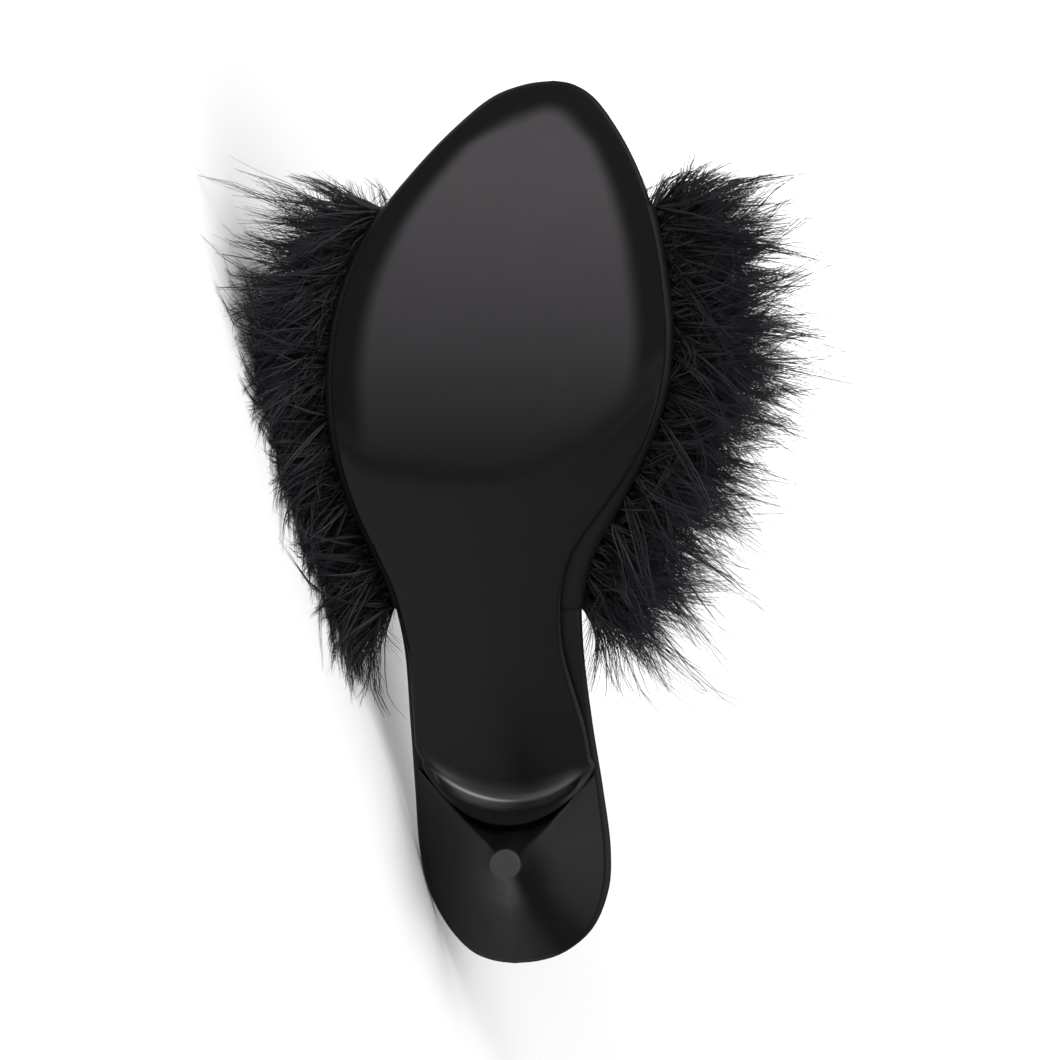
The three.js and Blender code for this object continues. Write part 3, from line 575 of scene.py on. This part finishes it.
@dataclass(frozen=True)
class Heel:
    """The flared kitten heel: its seat takes the insole's plan and draws in to a round tip.

    The caps are the shares of the way through that close it over the seat and under the tip. The
    corner's and the front's sizes are shares of the breast's scoop and of the seat's half width.
    """

    last: Last
    sole: Outsole
    cap: float = 0.08
    draw: float = 1.25
    rounding: float = 0.13
    back_inset: float = 0.35
    corner: float = 1.05
    front: float = 0.8
    seat_round: float = 1.5
    breast_round: float = 9.0
    name: str = "kitten_heel"

    def rounded(self, around: Array, window: Array) -> Array:
        """Returns the seat's outline without its corners: its mean over a window round each point."""
        steps = np.linspace(-1, 1, 17)
        weights = (1 - np.abs(steps)) / (1 - np.abs(steps)).sum()
        return sum(w * self.seat((around + step * window) % 1) for step, w in zip(steps, weights))

    def seat_middle(self) -> Array:
        """Returns the middle of the seat in plan."""
        return np.array([SEAT_WIDTH / 2, self.last.middle(SEAT_WIDTH / 2)])

    def inward(self, points: Array) -> Array:
        """Returns points of the insole's edge moved in to the seat's edge."""
        inset = HEEL_INSET * blend(self.back_inset, 1, smooth(points[:, 0], 0, SEAT_WIDTH / 2))
        return points + unit(self.seat_middle() - points) * inset[:, None]

    def seat(self, around: Array) -> Array:
        """Returns the seat's outline: up the inner side, across the front and back."""
        corner = BREAST_POSITION + self.corner * BREAST_SCOOP
        sides = corner * (1 - np.cos(np.linspace(0, np.pi / 2, 120)))
        across = np.linspace(self.front, -self.front, 33)
        y = self.last.middle(BREAST_POSITION) + across * SEAT_WIDTH / 2
        front = joined(BREAST_POSITION + self.sole.scoop(y), y)
        inner = self.inward(joined(sides, self.last.inner(sides)))
        outer = self.inward(joined(sides, self.last.outer(sides)))
        loop = np.vstack([inner, front, outer[::-1]])
        travelled = np.concatenate([[0], np.cumsum(np.linalg.norm(np.diff(loop, axis=0), axis=1))])
        at = around * travelled[-1]
        return joined(np.interp(at, travelled, loop[:, 0]), np.interp(at, travelled, loop[:, 1]))

    def form(self, around: Array, through: Array) -> Shaped:
        """Returns the heel's points, closed over the seat and under the tip."""
        flare = TableCurve([(turn * math.pi, power) for turn, power in FLARE])
        middle = self.seat_middle()
        tip = np.array([TIP_POSITION, self.last.middle(TIP_POSITION)])
        down = np.clip((through - self.cap) / (1 - 2 * self.cap), 0, 1) ** self.draw
        seat = self.rounded(around, self.rounding * smooth(down, 0, 0.45))
        way = unit(seat - middle)
        power = flare(np.abs(np.arctan2(way[:, 1], way[:, 0])))
        at = blend(tip + way * (TIP_DIAMETER / 2 + 0.2), seat, ((1 - down) ** power)[:, None])
        head = self.last.underside(seat[:, 0]) - CLEARANCE
        z = blend(head, TOP_PIECE_HEIGHT + CLEARANCE, down)
        corner = self.sole.along(0.0, self.sole.scoop(at[:, 1]))
        depth = self.last.underside(corner) - CLEARANCE - z
        face = corner - self.sole.receded(depth) - CLEARANCE
        bend = blend(self.seat_round, self.breast_round, smooth(down, 0, 0.35))
        over = np.maximum(0, at[:, 0] - face + bend)
        at[:, 0] -= np.where(over < 2 * bend, over * over / (4 * bend), over - bend)
        seat_cap = np.clip(1 - through / self.cap, 0, 1)[:, None]
        tip_cap = np.clip((through - (1 - self.cap)) / self.cap, 0, 1)[:, None]
        at = blend(blend(at, middle, seat_cap), tip, tip_cap)
        z = np.where(through < self.cap, self.last.underside(at[:, 0]) - CLEARANCE, z)
        return joined(at[:, 0], at[:, 1], z), {}

    def build(self, pose: Pose) -> Piece:
        """Makes the heel in the CAD heel's place."""
        piece = formed(self.name, 260, 90, self.form, pose)
        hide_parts("heel")
        return piece


@dataclass(frozen=True)
class TopPiece:
    """The round wear piece under the heel's tip, with a rolled rim that catches the light."""

    last: Last
    sides: int = 72
    rim: float = 0.45
    name: str = "wear_piece"

    def build(self, pose: Pose) -> Piece:
        """Makes the wear piece in the CAD top piece's place."""
        disc = bmesh.new()
        bmesh.ops.create_cone(
            disc, cap_ends=True, cap_tris=False, segments=self.sides,
            radius1=TIP_DIAMETER / 2, radius2=TIP_DIAMETER / 2, depth=TOP_PIECE_HEIGHT,
        )
        lower = [edge for edge in disc.edges if all(vert.co.z < 0 for vert in edge.verts)]
        bmesh.ops.bevel(
            disc, geom=lower, offset=self.rim, segments=4, profile=0.5, affect="EDGES", material=-1
        )
        middle = (TIP_POSITION, float(self.last.middle(TIP_POSITION)), TOP_PIECE_HEIGHT / 2)
        for vert in disc.verts:
            vert.co = pose.place(*(Vector(middle) + vert.co))
        bmesh.ops.recalc_face_normals(disc, faces=disc.faces)
        mesh = bpy.data.meshes.new(self.name)
        disc.to_mesh(mesh)
        disc.free()
        for face in mesh.polygons:
            face.use_smooth = len(face.vertices) < self.sides
        piece = on_shoe(bpy.data.objects.new(self.name, mesh))
        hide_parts("top_piece")
        return piece


@dataclass(frozen=True)
class Band:
    """The band over the forefoot, one folded layer that is open in front and behind.

    The powers say how square the arch is across the shoe, in its two ways, and how sharply the
    throat and the toe's opening are cut out.
    """

    last: Last
    corner: float = 2.2
    ridge_shift: float = 0.04 * BALL_WIDTH
    wide: float = 0.72
    tall: float = 0.92
    throat: float = 1.3
    peep: float = 1.5
    name: str = "forefoot_band"

    def section(self, x: Array, turn: Array) -> Array:
        """Returns points of the band's middle layer across the shoe.

        Args:
            x: Where the section is along the shoe.
            turn: 0 at the outer edge and 1 at the inner, and beyond those on the margins.
        """
        folded = np.maximum(0, np.maximum(-turn, turn - 1)) * LASTING_MARGIN
        angle = np.pi * np.clip(turn, 0, 1)
        base = self.last.underside(x) + UPPER_WALL / 2
        swing = np.sign(np.cos(angle)) * np.abs(np.cos(angle)) ** self.wide
        arch = np.maximum(np.sin(angle), 0)
        y = self.last.middle(x) - self.last.half(x) * swing + self.ridge_shift * arch**2
        z = base + self.corner + (INSTEP_HEIGHT * self.last.foot(x) - self.corner) * arch**self.tall
        inward = np.where(turn < 0, 1.0, -1.0)
        rounded = np.pi / 2 * np.minimum(folded, self.corner) / self.corner
        step = self.corner * (1 - np.cos(rounded)) + np.maximum(0, folded - self.corner)
        under = joined(y + inward * step, base + self.corner * (1 - np.sin(rounded)))
        return np.where((folded > 0)[:, None], under, joined(y, z))

    def at(self, turn: Array, share: Array) -> Array:
        """Returns where a point lies along the shoe, for a share of the way to the front edge."""
        over = np.maximum(np.sin(np.pi * np.clip(turn, 0, 1)), 0)
        rear = BAND_REAR + THROAT_DEPTH * over**self.throat
        return blend(rear, BAND_FRONT - PEEP_DEPTH * over**self.peep, share)

    def frame_at(self, turn: Array, share: Array) -> tuple[Array, Array]:
        """Returns points of the middle layer, and the way that faces out at each."""
        x = self.at(turn, share)
        along = unit(self.section(x, turn + 0.01) - self.section(x, turn - 0.01))
        section = self.section(x, turn)
        out = joined(0 * x, -along[:, 1], along[:, 0])
        return joined(x, section[:, 0], section[:, 1]), out

    def form(self, around: Array, over: Array) -> Shaped:
        """Returns the band's points: over its outer face to the front, and back inside."""
        turn = blend(-1.0, 2.0, over)
        lap = around * 2
        outer = lap < 1
        share = np.where(outer, lap, 2 - lap)
        share = (1 - np.cos(np.pi * share)) / 2
        point, out = self.frame_at(turn, share)
        half = UPPER_WALL / 2
        edge = np.minimum(share, 1 - share) * 60
        side = np.sqrt(np.clip(1 - (1 - np.minimum(edge, half) / half) ** 2, 0, 1)) * half
        shut = smooth(over, 0, 0.004) * (1 - smooth(over, 0.996, 1))
        offset = np.where(outer, side, -side) * shut
        return point + out * offset[:, None], {}

    def build(self, pose: Pose) -> Piece:
        """Makes the band in the upper's place."""
        piece = formed(self.name, 96, 220, self.form, pose)
        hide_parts("upper_band")
        return piece


@dataclass(frozen=True)
class Marabou:
    """Strings of marabou laid over the band in rows, whose barbs stand out in wisps.

    The lengths are in millimetres. Leans and spreads are slopes or angles in radians, and the
    other values are shares of the wisps, of the band's way over the foot or of a barb's length.
    The barbs are drawn wider and fewer than real ones, so that they show.
    """

    last: Last
    band: Band
    strips: tuple[str, ...] = (
        "marabou_throat_strip", "marabou_instep_strip", "marabou_ball_strip", "marabou_toe_strip",
    )
    rows: tuple[float, ...] = (0.07, 0.38, 0.64, 0.9)
    wisps_in_row: int = 1700
    barbs_in_wisp: int = 9
    knots: int = 7
    barb_length: float = 30.5
    longest: float = 38.0
    barb_width: float = 0.38
    reach: float = 11.8
    at_edges: float = 0.14
    edge_zone: float = 0.12
    row_spread: float = 0.085
    root_depth: Span = (-0.2, 1.8)
    swept_back: float = -0.52
    swept_ahead: Span = (0.3, 0.85)
    fan_spread: float = 0.46
    sway_spread: float = 0.36
    most_back: float = -1.2
    most_ahead: Span = (0.3, 1.2)
    bow_spread: float = 0.46
    bow: float = 0.55
    strays: float = 0.12
    wisp_width: float = 1.7
    waviness: float = 0.5
    held_from: float = 3.0
    held_slope: float = 0.75
    held_softness: float = 0.15
    drawn_in: float = 0.6
    pressed_to: Span = (0.6, 4.0)
    seed: int = 20

    def rooted(self, rng: np.random.Generator, row: float) -> tuple[Array, Array, Array]:
        """Plants the wisps of one row.

        Args:
            rng: The seeded source of scatter.
            row: The row's share of the way to the band's front edge.

        Returns:
            Each wisp's root, its heading, and its length.
        """
        count = self.wisps_in_row
        turn = rng.uniform(0, 1, count)
        edge = rng.random(count) < self.at_edges
        inward = (0.5 - np.round(turn)) * rng.uniform(0, self.edge_zone, count)
        turn = np.where(edge, np.round(turn) + inward, turn)
        turn = np.clip(turn, 0.004, 0.996)
        share = np.clip(row + rng.normal(0, self.row_spread, count), 0.01, 0.99)
        root, out = self.band.frame_at(turn, share)
        root += out * rng.uniform(*self.root_depth, count)[:, None]
        beside = np.cross(out, np.array([1.0, 0, 0]))
        swept = self.swept_back + blend(*self.swept_ahead, turn) * row
        fan = rng.normal(swept, self.fan_spread, count)
        sway = rng.normal(0, self.sway_spread, count)
        ahead = np.array([1.0, 0, 0])
        most = blend(*self.most_ahead, smooth(turn, 0, 0.4))
        lean = np.tan(np.clip(fan, self.most_back, most))
        heading = unit(out + ahead * lean[:, None] + beside * sway[:, None])
        puff = 1 + 0.14 * np.sin(23 * turn + 5 * row) + 0.1 * np.sin(61 * turn + 9 * row)
        length = np.minimum(self.barb_length * puff * rng.uniform(0.72, 1.12, count), self.longest)
        return root, heading, length

    def barbs(self, rng: np.random.Generator, row: float) -> Array:
        """Returns the points of one row's barbs, as an array of barb, knot and coordinate."""
        root, heading, length = self.rooted(rng, row)
        each = self.barbs_in_wisp
        root, heading, length = (np.repeat(part, each, axis=0) for part in (root, heading, length))
        count = len(root)
        t = np.linspace(0, 1, self.knots)[None, :, None]
        bow = np.repeat(rng.normal(0, self.bow_spread, (count // each, 3)), each, axis=0)
        side = unit(rng.normal(0, 1, (count, 3)))
        side -= heading * (side * heading).sum(axis=1, keepdims=True)
        stray = (rng.random(count) < self.strays)[:, None]
        bow = bow + rng.normal(0, 1, (count, 3)) * np.where(stray, 0.3, 0.05)
        length = length * rng.uniform(0.78, 1.05, count) * np.where(stray[:, 0], 1.08, 1)
        reach = length[:, None, None]
        belly = np.sin(np.pi * t**0.75) * self.wisp_width + (1 - t) * 0.6
        spread = side[:, None, :] * belly * rng.uniform(0.2, 1, count)[:, None, None]
        wave = rng.normal(0, 1, (count, 1, 3)) * self.waviness * t
        wave = wave * np.sin(8 * t + rng.uniform(0, 6, (count, 1, 1)))
        line = heading[:, None, :] * t + bow[:, None, :] * t**2 * self.bow
        return root[:, None, :] + line * reach + spread + wave

    def held_off(self, points: Array) -> Array:
        """Keeps barbs from passing in front of the sole, where they grow from behind its edge."""
        x, y, z = points[..., 0], points[..., 1], points[..., 2]
        within = np.clip(x, 0, LENGTH)
        out = np.maximum(0, self.last.outside(within, y))
        low = self.last.underside(within) + self.held_from - self.held_slope * out
        points[..., 2] = np.where(z < low, low + self.held_softness * (z - low), z)
        past = np.maximum(0, x - BAND_FRONT - 6) - np.maximum(0, BAND_REAR - 22 - x)
        points[..., 0] = x - self.drawn_in * past
        return points

    def trimmed(self, points: Array, rng: np.random.Generator) -> Array:
        """Shortens barbs that would stand too far out of the shoe's box.

        Args:
            points: The barbs, in millimetres over the floor.
            rng: The seeded source of scatter.

        Returns:
            The barbs, none of which passes the box by more than the reach.
        """
        low = np.array(CAD_BOX[0]) / MM - self.reach
        low[2] = -1e3
        high = np.array(CAD_BOX[1]) / MM + self.reach
        root = points[:, :1]
        way = points - root
        room = np.where(way > 0, high - root, root - low)
        share = (room / np.maximum(np.abs(way), 1e-6)).min(axis=(1, 2))
        share = np.where(share < 1, share * rng.uniform(0.82, 1, len(points)), 1)
        return root + way * share[:, None, None]

    def pressed(self, points: Array, rng: np.random.Generator) -> Array:
        """Bends barbs along the floor, at points that lie over it in millimetres."""
        depth = rng.uniform(*self.pressed_to, (len(points), 1))
        z = points[..., 2]
        lying = depth * np.exp(np.minimum(0, z - depth) / depth)
        points[..., 2] = np.where(z < depth, lying, z)
        return points

    def ribbons(self, points: Array, rng: np.random.Generator) -> tuple[Array, Array, Array]:
        """Widens barbs to flat tapering ribbons.

        Args:
            points: The barbs, in millimetres over the floor.
            rng: The seeded source of scatter.

        Returns:
            The vertices, the faces as corner indices, and the share of the way to each tip.
        """
        count, knots, _ = points.shape
        tangent = unit(np.gradient(points, axis=1))
        across = unit(np.cross(tangent, unit(rng.normal(0, 1, (count, 1, 3)))))
        t = np.linspace(0, 1, knots)
        width = self.barb_width * (1 - 0.8 * t**1.3)[None, :, None] / 2
        width = width * rng.uniform(0.6, 1.25, (count, 1, 1))
        verts = np.stack([points - across * width, points + across * width], axis=2)
        first = (np.arange(count) * knots * 2)[:, None] + np.arange(knots - 1)[None, :] * 2
        faces = np.stack([first, first + 1, first + 3, first + 2], axis=-1).reshape(-1, 4)
        tips = np.broadcast_to(t[None, :, None], (count, knots, 2))
        return verts.reshape(-1, 3), faces, tips.reshape(-1)

    def build(self, pose: Pose) -> list[Piece]:
        """Makes each row of down as one joined mesh."""
        made = []
        for index, row in enumerate(self.rows):
            rng = np.random.default_rng(self.seed + index)
            standing = self.held_off(self.barbs(rng, row))
            laid = self.pressed(self.trimmed(pose.laid(standing), rng), rng)
            verts, faces, tips = self.ribbons(laid, rng)
            name = f"marabou_row_{index + 1}"
            mesh = bpy.data.meshes.new(name)
            mesh.from_pydata((verts * MM).tolist(), [], faces.tolist())
            mesh.attributes.new("tip", "FLOAT", "POINT").data.foreach_set("value", tips)
            mesh.shade_smooth()
            piece = on_shoe(bpy.data.objects.new(name, mesh))
            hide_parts(self.strips[index])
            made.append(piece)
        return made


def linear(colour: str) -> tuple[float, float, float, float]:
    """Turns an sRGB hex colour to linear red, green, blue and alpha."""
    parts = [int(colour[i : i + 2], 16) / 255 for i in (0, 2, 4)]
    red, green, blue = (c / 12.92 if c <= 0.04045 else ((c + 0.055) / 1.055) ** 2.4 for c in parts)
    return red, green, blue, 1.0


def add(tree: Tree, kind: str, settings: dict | None = None, **links) -> bpy.types.Node:
    """Adds a node.

    Args:
        tree: The material's or world's node tree.
        kind: The node's type without its ShaderNode prefix.
        settings: Values for the node's own settings.
        **links: For each input, a socket to link or a value to set. An input's name has its
            spaces as underscores, and an input without a name of its own is i0, i1 and so on.

    Returns:
        The node.
    """
    node = tree.nodes.new("ShaderNode" + kind)
    for key, value in (settings or {}).items():
        setattr(node, key, value)
    for key, value in links.items():
        numbered = key[0] == "i" and key[1:].isdigit()
        socket = node.inputs[int(key[1:])] if numbered else node.inputs[key.replace("_", " ")]
        if isinstance(value, Socket):
            tree.links.new(value, socket)
        else:
            socket.default_value = value
    return node


def started(name: str) -> tuple[Material, Tree]:
    """Starts a material that has no nodes yet."""
    material = bpy.data.materials.new(name)
    material.use_nodes = True
    material.node_tree.nodes.clear()
    return material, material.node_tree


def mixed(tree: Tree, share: Socket, *colours) -> Socket:
    """Mixes two colours, with share 1 for all of the second."""
    first, second = colours
    return add(tree, "Mix", {"data_type": "RGBA"}, i0=share, i6=first, i7=second).outputs[2]


def noise(tree: Tree, place: Socket, size_mm: float, detail: float) -> Socket:
    """Returns noise with features of a real size."""
    node = add(tree, "TexNoise", Vector=place, Scale=1 / (size_mm * MM), Detail=detail)
    return node.outputs["Fac"]


def bumped(tree: Tree, height: Socket, strength: float, depth_mm: float) -> Socket:
    """Returns the way that a bumpy surface faces."""
    return add(tree, "Bump", Height=height, Strength=strength, Distance=depth_mm * MM).outputs[0]


def coated(tree: Tree, **look) -> None:
    """Ends a material with its shader, whose inputs are given as for add."""
    shader = add(tree, "BsdfPrincipled", **look)
    add(tree, "OutputMaterial", Surface=shader.outputs[0])


class Gloss(Enum):
    """How strongly a finish's clear coat shows."""

    NONE = 0.0
    LACQUER = 0.12
    POLISHED = 0.9


# Drum-dyed and finished leather: near black, with a soft sheen that a pebbled grain breaks up.
# Buffing takes the finish off and leaves it paler and matte. The grain is drawn at 0.7 to 0.9 mm,
# coarser than the real one, so that it shows.
@dataclass(frozen=True)
class Hide:
    """Black leather, with a fine grain pressed into it.

    The masks name attributes of the piece: where it is buffed to the second colour, which on the
    sole also carries a painted light; where it is darkened, partly as ink and partly as painted
    shade, and dulled; and where a bend is polished.
    """

    name: str
    colour: str = "0c0b0d"
    second: str = "111012"
    # The dark colour of ink and painted shade.
    inked_shade_colour: str = "050505"
    roughness: float = 0.45
    buffed_roughness: float = 0.85
    dull_roughness: float = 0.9
    grain_mm: float = 0.9
    grain_depth_mm: float = 0.06
    cloud_mm: float = 14.0
    gloss: Gloss = Gloss.NONE
    shine: float = 0.2
    mask: str = ""
    dull: str = ""
    polished: str = ""

    def material(self) -> Material:
        """Builds the leather: two tones, pebbled grain and soft uneven polish."""
        material, tree = started(self.name)
        place = add(tree, "TexCoord").outputs["Object"]
        share = noise(tree, place, self.cloud_mm, 3.0)
        pebble = add(tree, "TexVoronoi", Vector=place, Scale=1 / (self.grain_mm * MM))
        fine = noise(tree, place, 0.4 * self.grain_mm, 4.0)
        worn = self.roughness + 0.1
        # On the sole the mask's second colour also carries a painted light, paler towards the toe.
        if self.mask:
            mask = add(tree, "Attribute", {"attribute_name": self.mask}).outputs["Fac"]
            uneven = add(tree, "MapRange", Value=share, To_Min=0.86, To_Max=1.08).outputs["Result"]
            share = add(tree, "Math", {"operation": "MULTIPLY"}, i0=mask, i1=uneven).outputs[0]
            worn = self.buffed_roughness
        tone = mixed(tree, share, linear(self.colour), linear(self.second))
        polish = add(tree, "MapRange", Value=share, To_Min=self.roughness, To_Max=worn).outputs["Result"]
        # This mask darkens the colour, as ink and painted shade, and roughens it.
        if self.dull:
            dull = add(tree, "Attribute", {"attribute_name": self.dull}).outputs["Fac"]
            tone = mixed(tree, dull, tone, linear(self.inked_shade_colour))
            polish = add(tree, "Mix", i0=dull, i2=polish, i3=self.dull_roughness).outputs[0]
        coat = self.gloss.value
        if self.polished:
            bent = add(tree, "Attribute", {"attribute_name": self.polished}).outputs["Fac"]
            coat = add(tree, "Math", {"operation": "MULTIPLY"}, i0=bent, i1=self.gloss.value).outputs[0]
        height = add(
            tree, "Math", {"operation": "MULTIPLY_ADD"},
            i0=fine, i1=0.5, i2=pebble.outputs["Distance"],
        ).outputs[0]
        coated(
            tree, Base_Color=tone, Roughness=polish,
            Normal=bumped(tree, height, 0.35, self.grain_depth_mm),
            Specular_IOR_Level=self.shine, Coat_Weight=coat, Coat_Roughness=0.33, Coat_IOR=1.75,
        )
        return material


# Sprayed cellulose lacquer over moulded ABS: black, satin where it was rubbed down, with
# slow waves in the film and faint marks along the way it was polished.
@dataclass(frozen=True)
class Lacquer:
    """Black heel lacquer over a moulded heel, with faint marks of polishing."""

    name: str = "black_heel_lacquer"
    colour: str = "0e0d0f"
    mark_mm: float = 2.5
    wave_mm: float = 9.0
    wave_depth_mm: float = 0.5
    smoothest: float = 0.36
    roughest: float = 0.5

    def material(self) -> Material:
        """Builds the lacquer."""
        material, tree = started(self.name)
        place = add(tree, "TexCoord").outputs["Object"]
        stretched = add(tree, "Mapping", Vector=place, Scale=(1.0, 0.12, 1.0)).outputs[0]
        marks = noise(tree, stretched, self.mark_mm, 3.0)
        waves = noise(tree, place, self.wave_mm, 1.0)
        polish = add(tree, "MapRange", Value=marks, To_Min=self.smoothest, To_Max=self.roughest)
        coated(
            tree, Base_Color=linear(self.colour), Roughness=polish.outputs["Result"],
            Normal=bumped(tree, waves, 0.3, self.wave_depth_mm), Specular_IOR_Level=0.13,
            Coat_Weight=Gloss.LACQUER.value, Coat_Roughness=0.35,
        )
        return material


# Carbon-filled rubber pressed in a blasted mould: matte dark grey, with specks drawn at 0.4 mm,
# coarser than the real ones, so that they show.
@dataclass(frozen=True)
class Rubber:
    """Moulded rubber of the wear piece, matte dark grey."""

    name: str = "moulded_rubber"
    colour: str = "272527"
    speck_mm: float = 0.4
    speck_depth_mm: float = 0.1

    def material(self) -> Material:
        """Builds the rubber with a fine moulded texture."""
        material, tree = started(self.name)
        place = add(tree, "TexCoord").outputs["Object"]
        facing = bumped(tree, noise(tree, place, self.speck_mm, 3.0), 0.3, self.speck_depth_mm)
        coated(tree, Base_Color=linear(self.colour), Roughness=0.6, Normal=facing)
        return material


# Dyed turkey down: fine loose barbs that drink up light between them, with a faint blue sheen
# and paler tips where they thin out.
@dataclass(frozen=True)
class Down:
    """Dyed marabou: black barbs, a little paler at their tips."""

    name: str = "dyed_marabou"
    colour: str = "09090c"
    tip: str = "181a21"

    def material(self) -> Material:
        """Builds the down."""
        material, tree = started(self.name)
        tip = add(tree, "Attribute", {"attribute_name": "tip"}).outputs["Fac"]
        tone = mixed(tree, tip, linear(self.colour), linear(self.tip))
        coated(tree, Base_Color=tone, Roughness=0.6, Specular_IOR_Level=0.4)
        return material


def dress(piece: Piece, material: Material) -> None:
    """Gives a piece one material in place of any it has."""
    piece.data.materials.clear()
    piece.data.materials.append(material)


@dataclass(frozen=True)
class Lamp:
    """A soft light: its place in the standing shoe's frame, its two sizes in metres, its watts."""

    name: str
    at: Spot
    size: Span
    power: float


@dataclass(frozen=True)
class Studio:
    """The white floor, the soft lights and the camera.

    The eye, the target and the frame's width are in millimetres, in the standing shoe's frame. The
    sky is the way to the middle of the bright part of the room, over the floor.
    """

    pose: Pose
    eye: Spot = (119.9, 83.0, -1400.0)
    target: Spot = (122.0, 6.0, 20.0)
    frame_width: float = 292.0
    lamps: tuple[Lamp, ...] = (
        Lamp("key", (950, 300, -800), (0.5, 0.7), 5.2),
        Lamp("side", (250, 1300, -900), (1.0, 1.0), 3),
    )
    sky: Spot = (0.0, -0.3, 0.954)
    sky_edge: float = 0.3
    sky_full: float = 0.9
    lit: float = 1.8
    dark: float = 0.02
    floor_half: float = 20.0
    paper: str = "f4f4f4"
    glow_near: float = 0.08
    glow_from: float = 0.15
    glow_to: float = 1.2

    def floor(self) -> None:
        """Lays a wide white floor under the shoe."""
        ground = bmesh.new()
        bmesh.ops.create_grid(ground, x_segments=8, y_segments=8, size=self.floor_half)
        mesh = bpy.data.meshes.new("floor")
        ground.to_mesh(mesh)
        ground.free()
        piece = bpy.data.objects.new("floor", mesh)
        bpy.context.collection.objects.link(piece)
        dress(piece, self.glowing_white_paper())

    def glowing_white_paper(self) -> Material:
        """Builds matte white paper that glows for the camera, faint by the shoe's soft shadows and plain
        white far off.
        """
        material, tree = started("glowing_white_paper")
        place = add(tree, "TexCoord").outputs["Object"]
        distance = add(tree, "VectorMath", {"operation": "LENGTH"}, i0=place).outputs["Value"]
        # A painted glow seen by the camera alone, faint near the shoe and full far off.
        glow = add(
            tree, "MapRange", {"interpolation_type": "SMOOTHSTEP"}, Value=distance,
            From_Min=self.glow_from, From_Max=self.glow_to, To_Min=self.glow_near, To_Max=1.0,
        ).outputs["Result"]
        seen = add(tree, "LightPath").outputs["Is Camera Ray"]
        strength = add(tree, "Math", {"operation": "MULTIPLY"}, i0=glow, i1=seen).outputs[0]
        coated(
            tree, Base_Color=linear(self.paper), Roughness=0.95, Specular_IOR_Level=0.1,
            Emission_Color=(1.0, 1.0, 1.0, 1.0), Emission_Strength=strength,
        )
        return material

    def camera(self) -> None:
        """Looks at the sole from the photo's place, rolled so that the toe points up."""
        data = bpy.data.cameras.new("camera")
        distance = (Vector(self.target) - Vector(self.eye)).length
        data.sensor_width = 36.0
        data.lens = data.sensor_width * distance / self.frame_width
        data.clip_end = 100.0
        eye = self.pose.place(*self.eye)
        back = (eye - self.pose.place(*self.target)).normalized()
        right = self.pose.way(1, 0, 0).cross(back).normalized()
        turn = Matrix((right, back.cross(right), back)).transposed()
        camera = bpy.data.objects.new("camera", data)
        camera.matrix_world = Matrix.Translation(eye) @ turn.to_4x4()
        bpy.context.collection.objects.link(camera)
        bpy.context.scene.camera = camera

    def light(self, lamp: Lamp) -> None:
        """Adds a soft light that faces the shoe."""
        data = bpy.data.lights.new(lamp.name, "AREA")
        data.shape = "RECTANGLE"
        data.size, data.size_y = lamp.size
        data.energy = lamp.power
        place = self.pose.place(*lamp.at)
        aim = self.pose.place(*self.target) - place
        turn = aim.to_track_quat("-Z", "Y").to_matrix().to_4x4()
        light = bpy.data.objects.new(lamp.name, data)
        light.matrix_world = Matrix.Translation(place) @ turn
        bpy.context.collection.objects.link(light)

    def room(self) -> None:
        """Sets a room that is bright over the shoe and dark where the camera stands."""
        world = bpy.data.worlds.new("room")
        world.use_nodes = True
        tree = world.node_tree
        tree.nodes.clear()
        direction = add(tree, "TexCoord").outputs["Generated"]
        over = add(tree, "VectorMath", {"operation": "DOT_PRODUCT"}, i0=direction, i1=self.sky)
        fill = add(
            tree, "MapRange", {"interpolation_type": "SMOOTHSTEP"}, Value=over.outputs["Value"],
            From_Min=self.sky_edge, From_Max=self.sky_full, To_Min=self.dark, To_Max=self.lit,
        ).outputs["Result"]
        seen = add(tree, "LightPath").outputs["Is Camera Ray"]
        strength = add(tree, "Mix", i0=seen, i2=fill, i3=1.0).outputs[0]
        background = add(tree, "Background", Strength=strength)
        add(tree, "OutputWorld", Surface=background.outputs[0])
        bpy.context.scene.world = world

    def build(self) -> None:
        """Sets up the floor, the camera and the lights."""
        self.floor()
        self.camera()
        for lamp in self.lamps:
            self.light(lamp)
        self.room()
        bpy.context.scene.view_settings.view_transform = "Standard"


def main() -> None:
    """Builds the shoe piece by piece, dresses it and sets up the studio."""
    logging.basicConfig(level=logging.INFO, format="%(name)s: %(message)s")
    last = Last()
    insole = Insole(last)
    pose = Pose(last, insole.rim_points())
    sole = Outsole(last)
    band = Band(last)
    dress(insole.build(pose), Hide("nappa_lining").material())
    tread = Hide(
        "buffed_inked_sole_painted_light_shade", second="413e41", roughness=0.34, grain_mm=0.7, grain_depth_mm=0.05,
        gloss=Gloss.POLISHED, mask="buff_and_toe_light", dull="inked_and_shaded", polished="bent",
    )
    dress(sole.build(pose), tread.material())
    dress(Heel(last, sole).build(pose), Lacquer().material())
    dress(band.build(pose), Hide("nappa_band").material())
    down = Down().material()
    for piece in Marabou(last, band).build(pose):
        dress(piece, down)
    dress(TopPiece(last).build(pose), Rubber().material())
    Studio(pose).build()


if __name__ == "__main__":
    main()
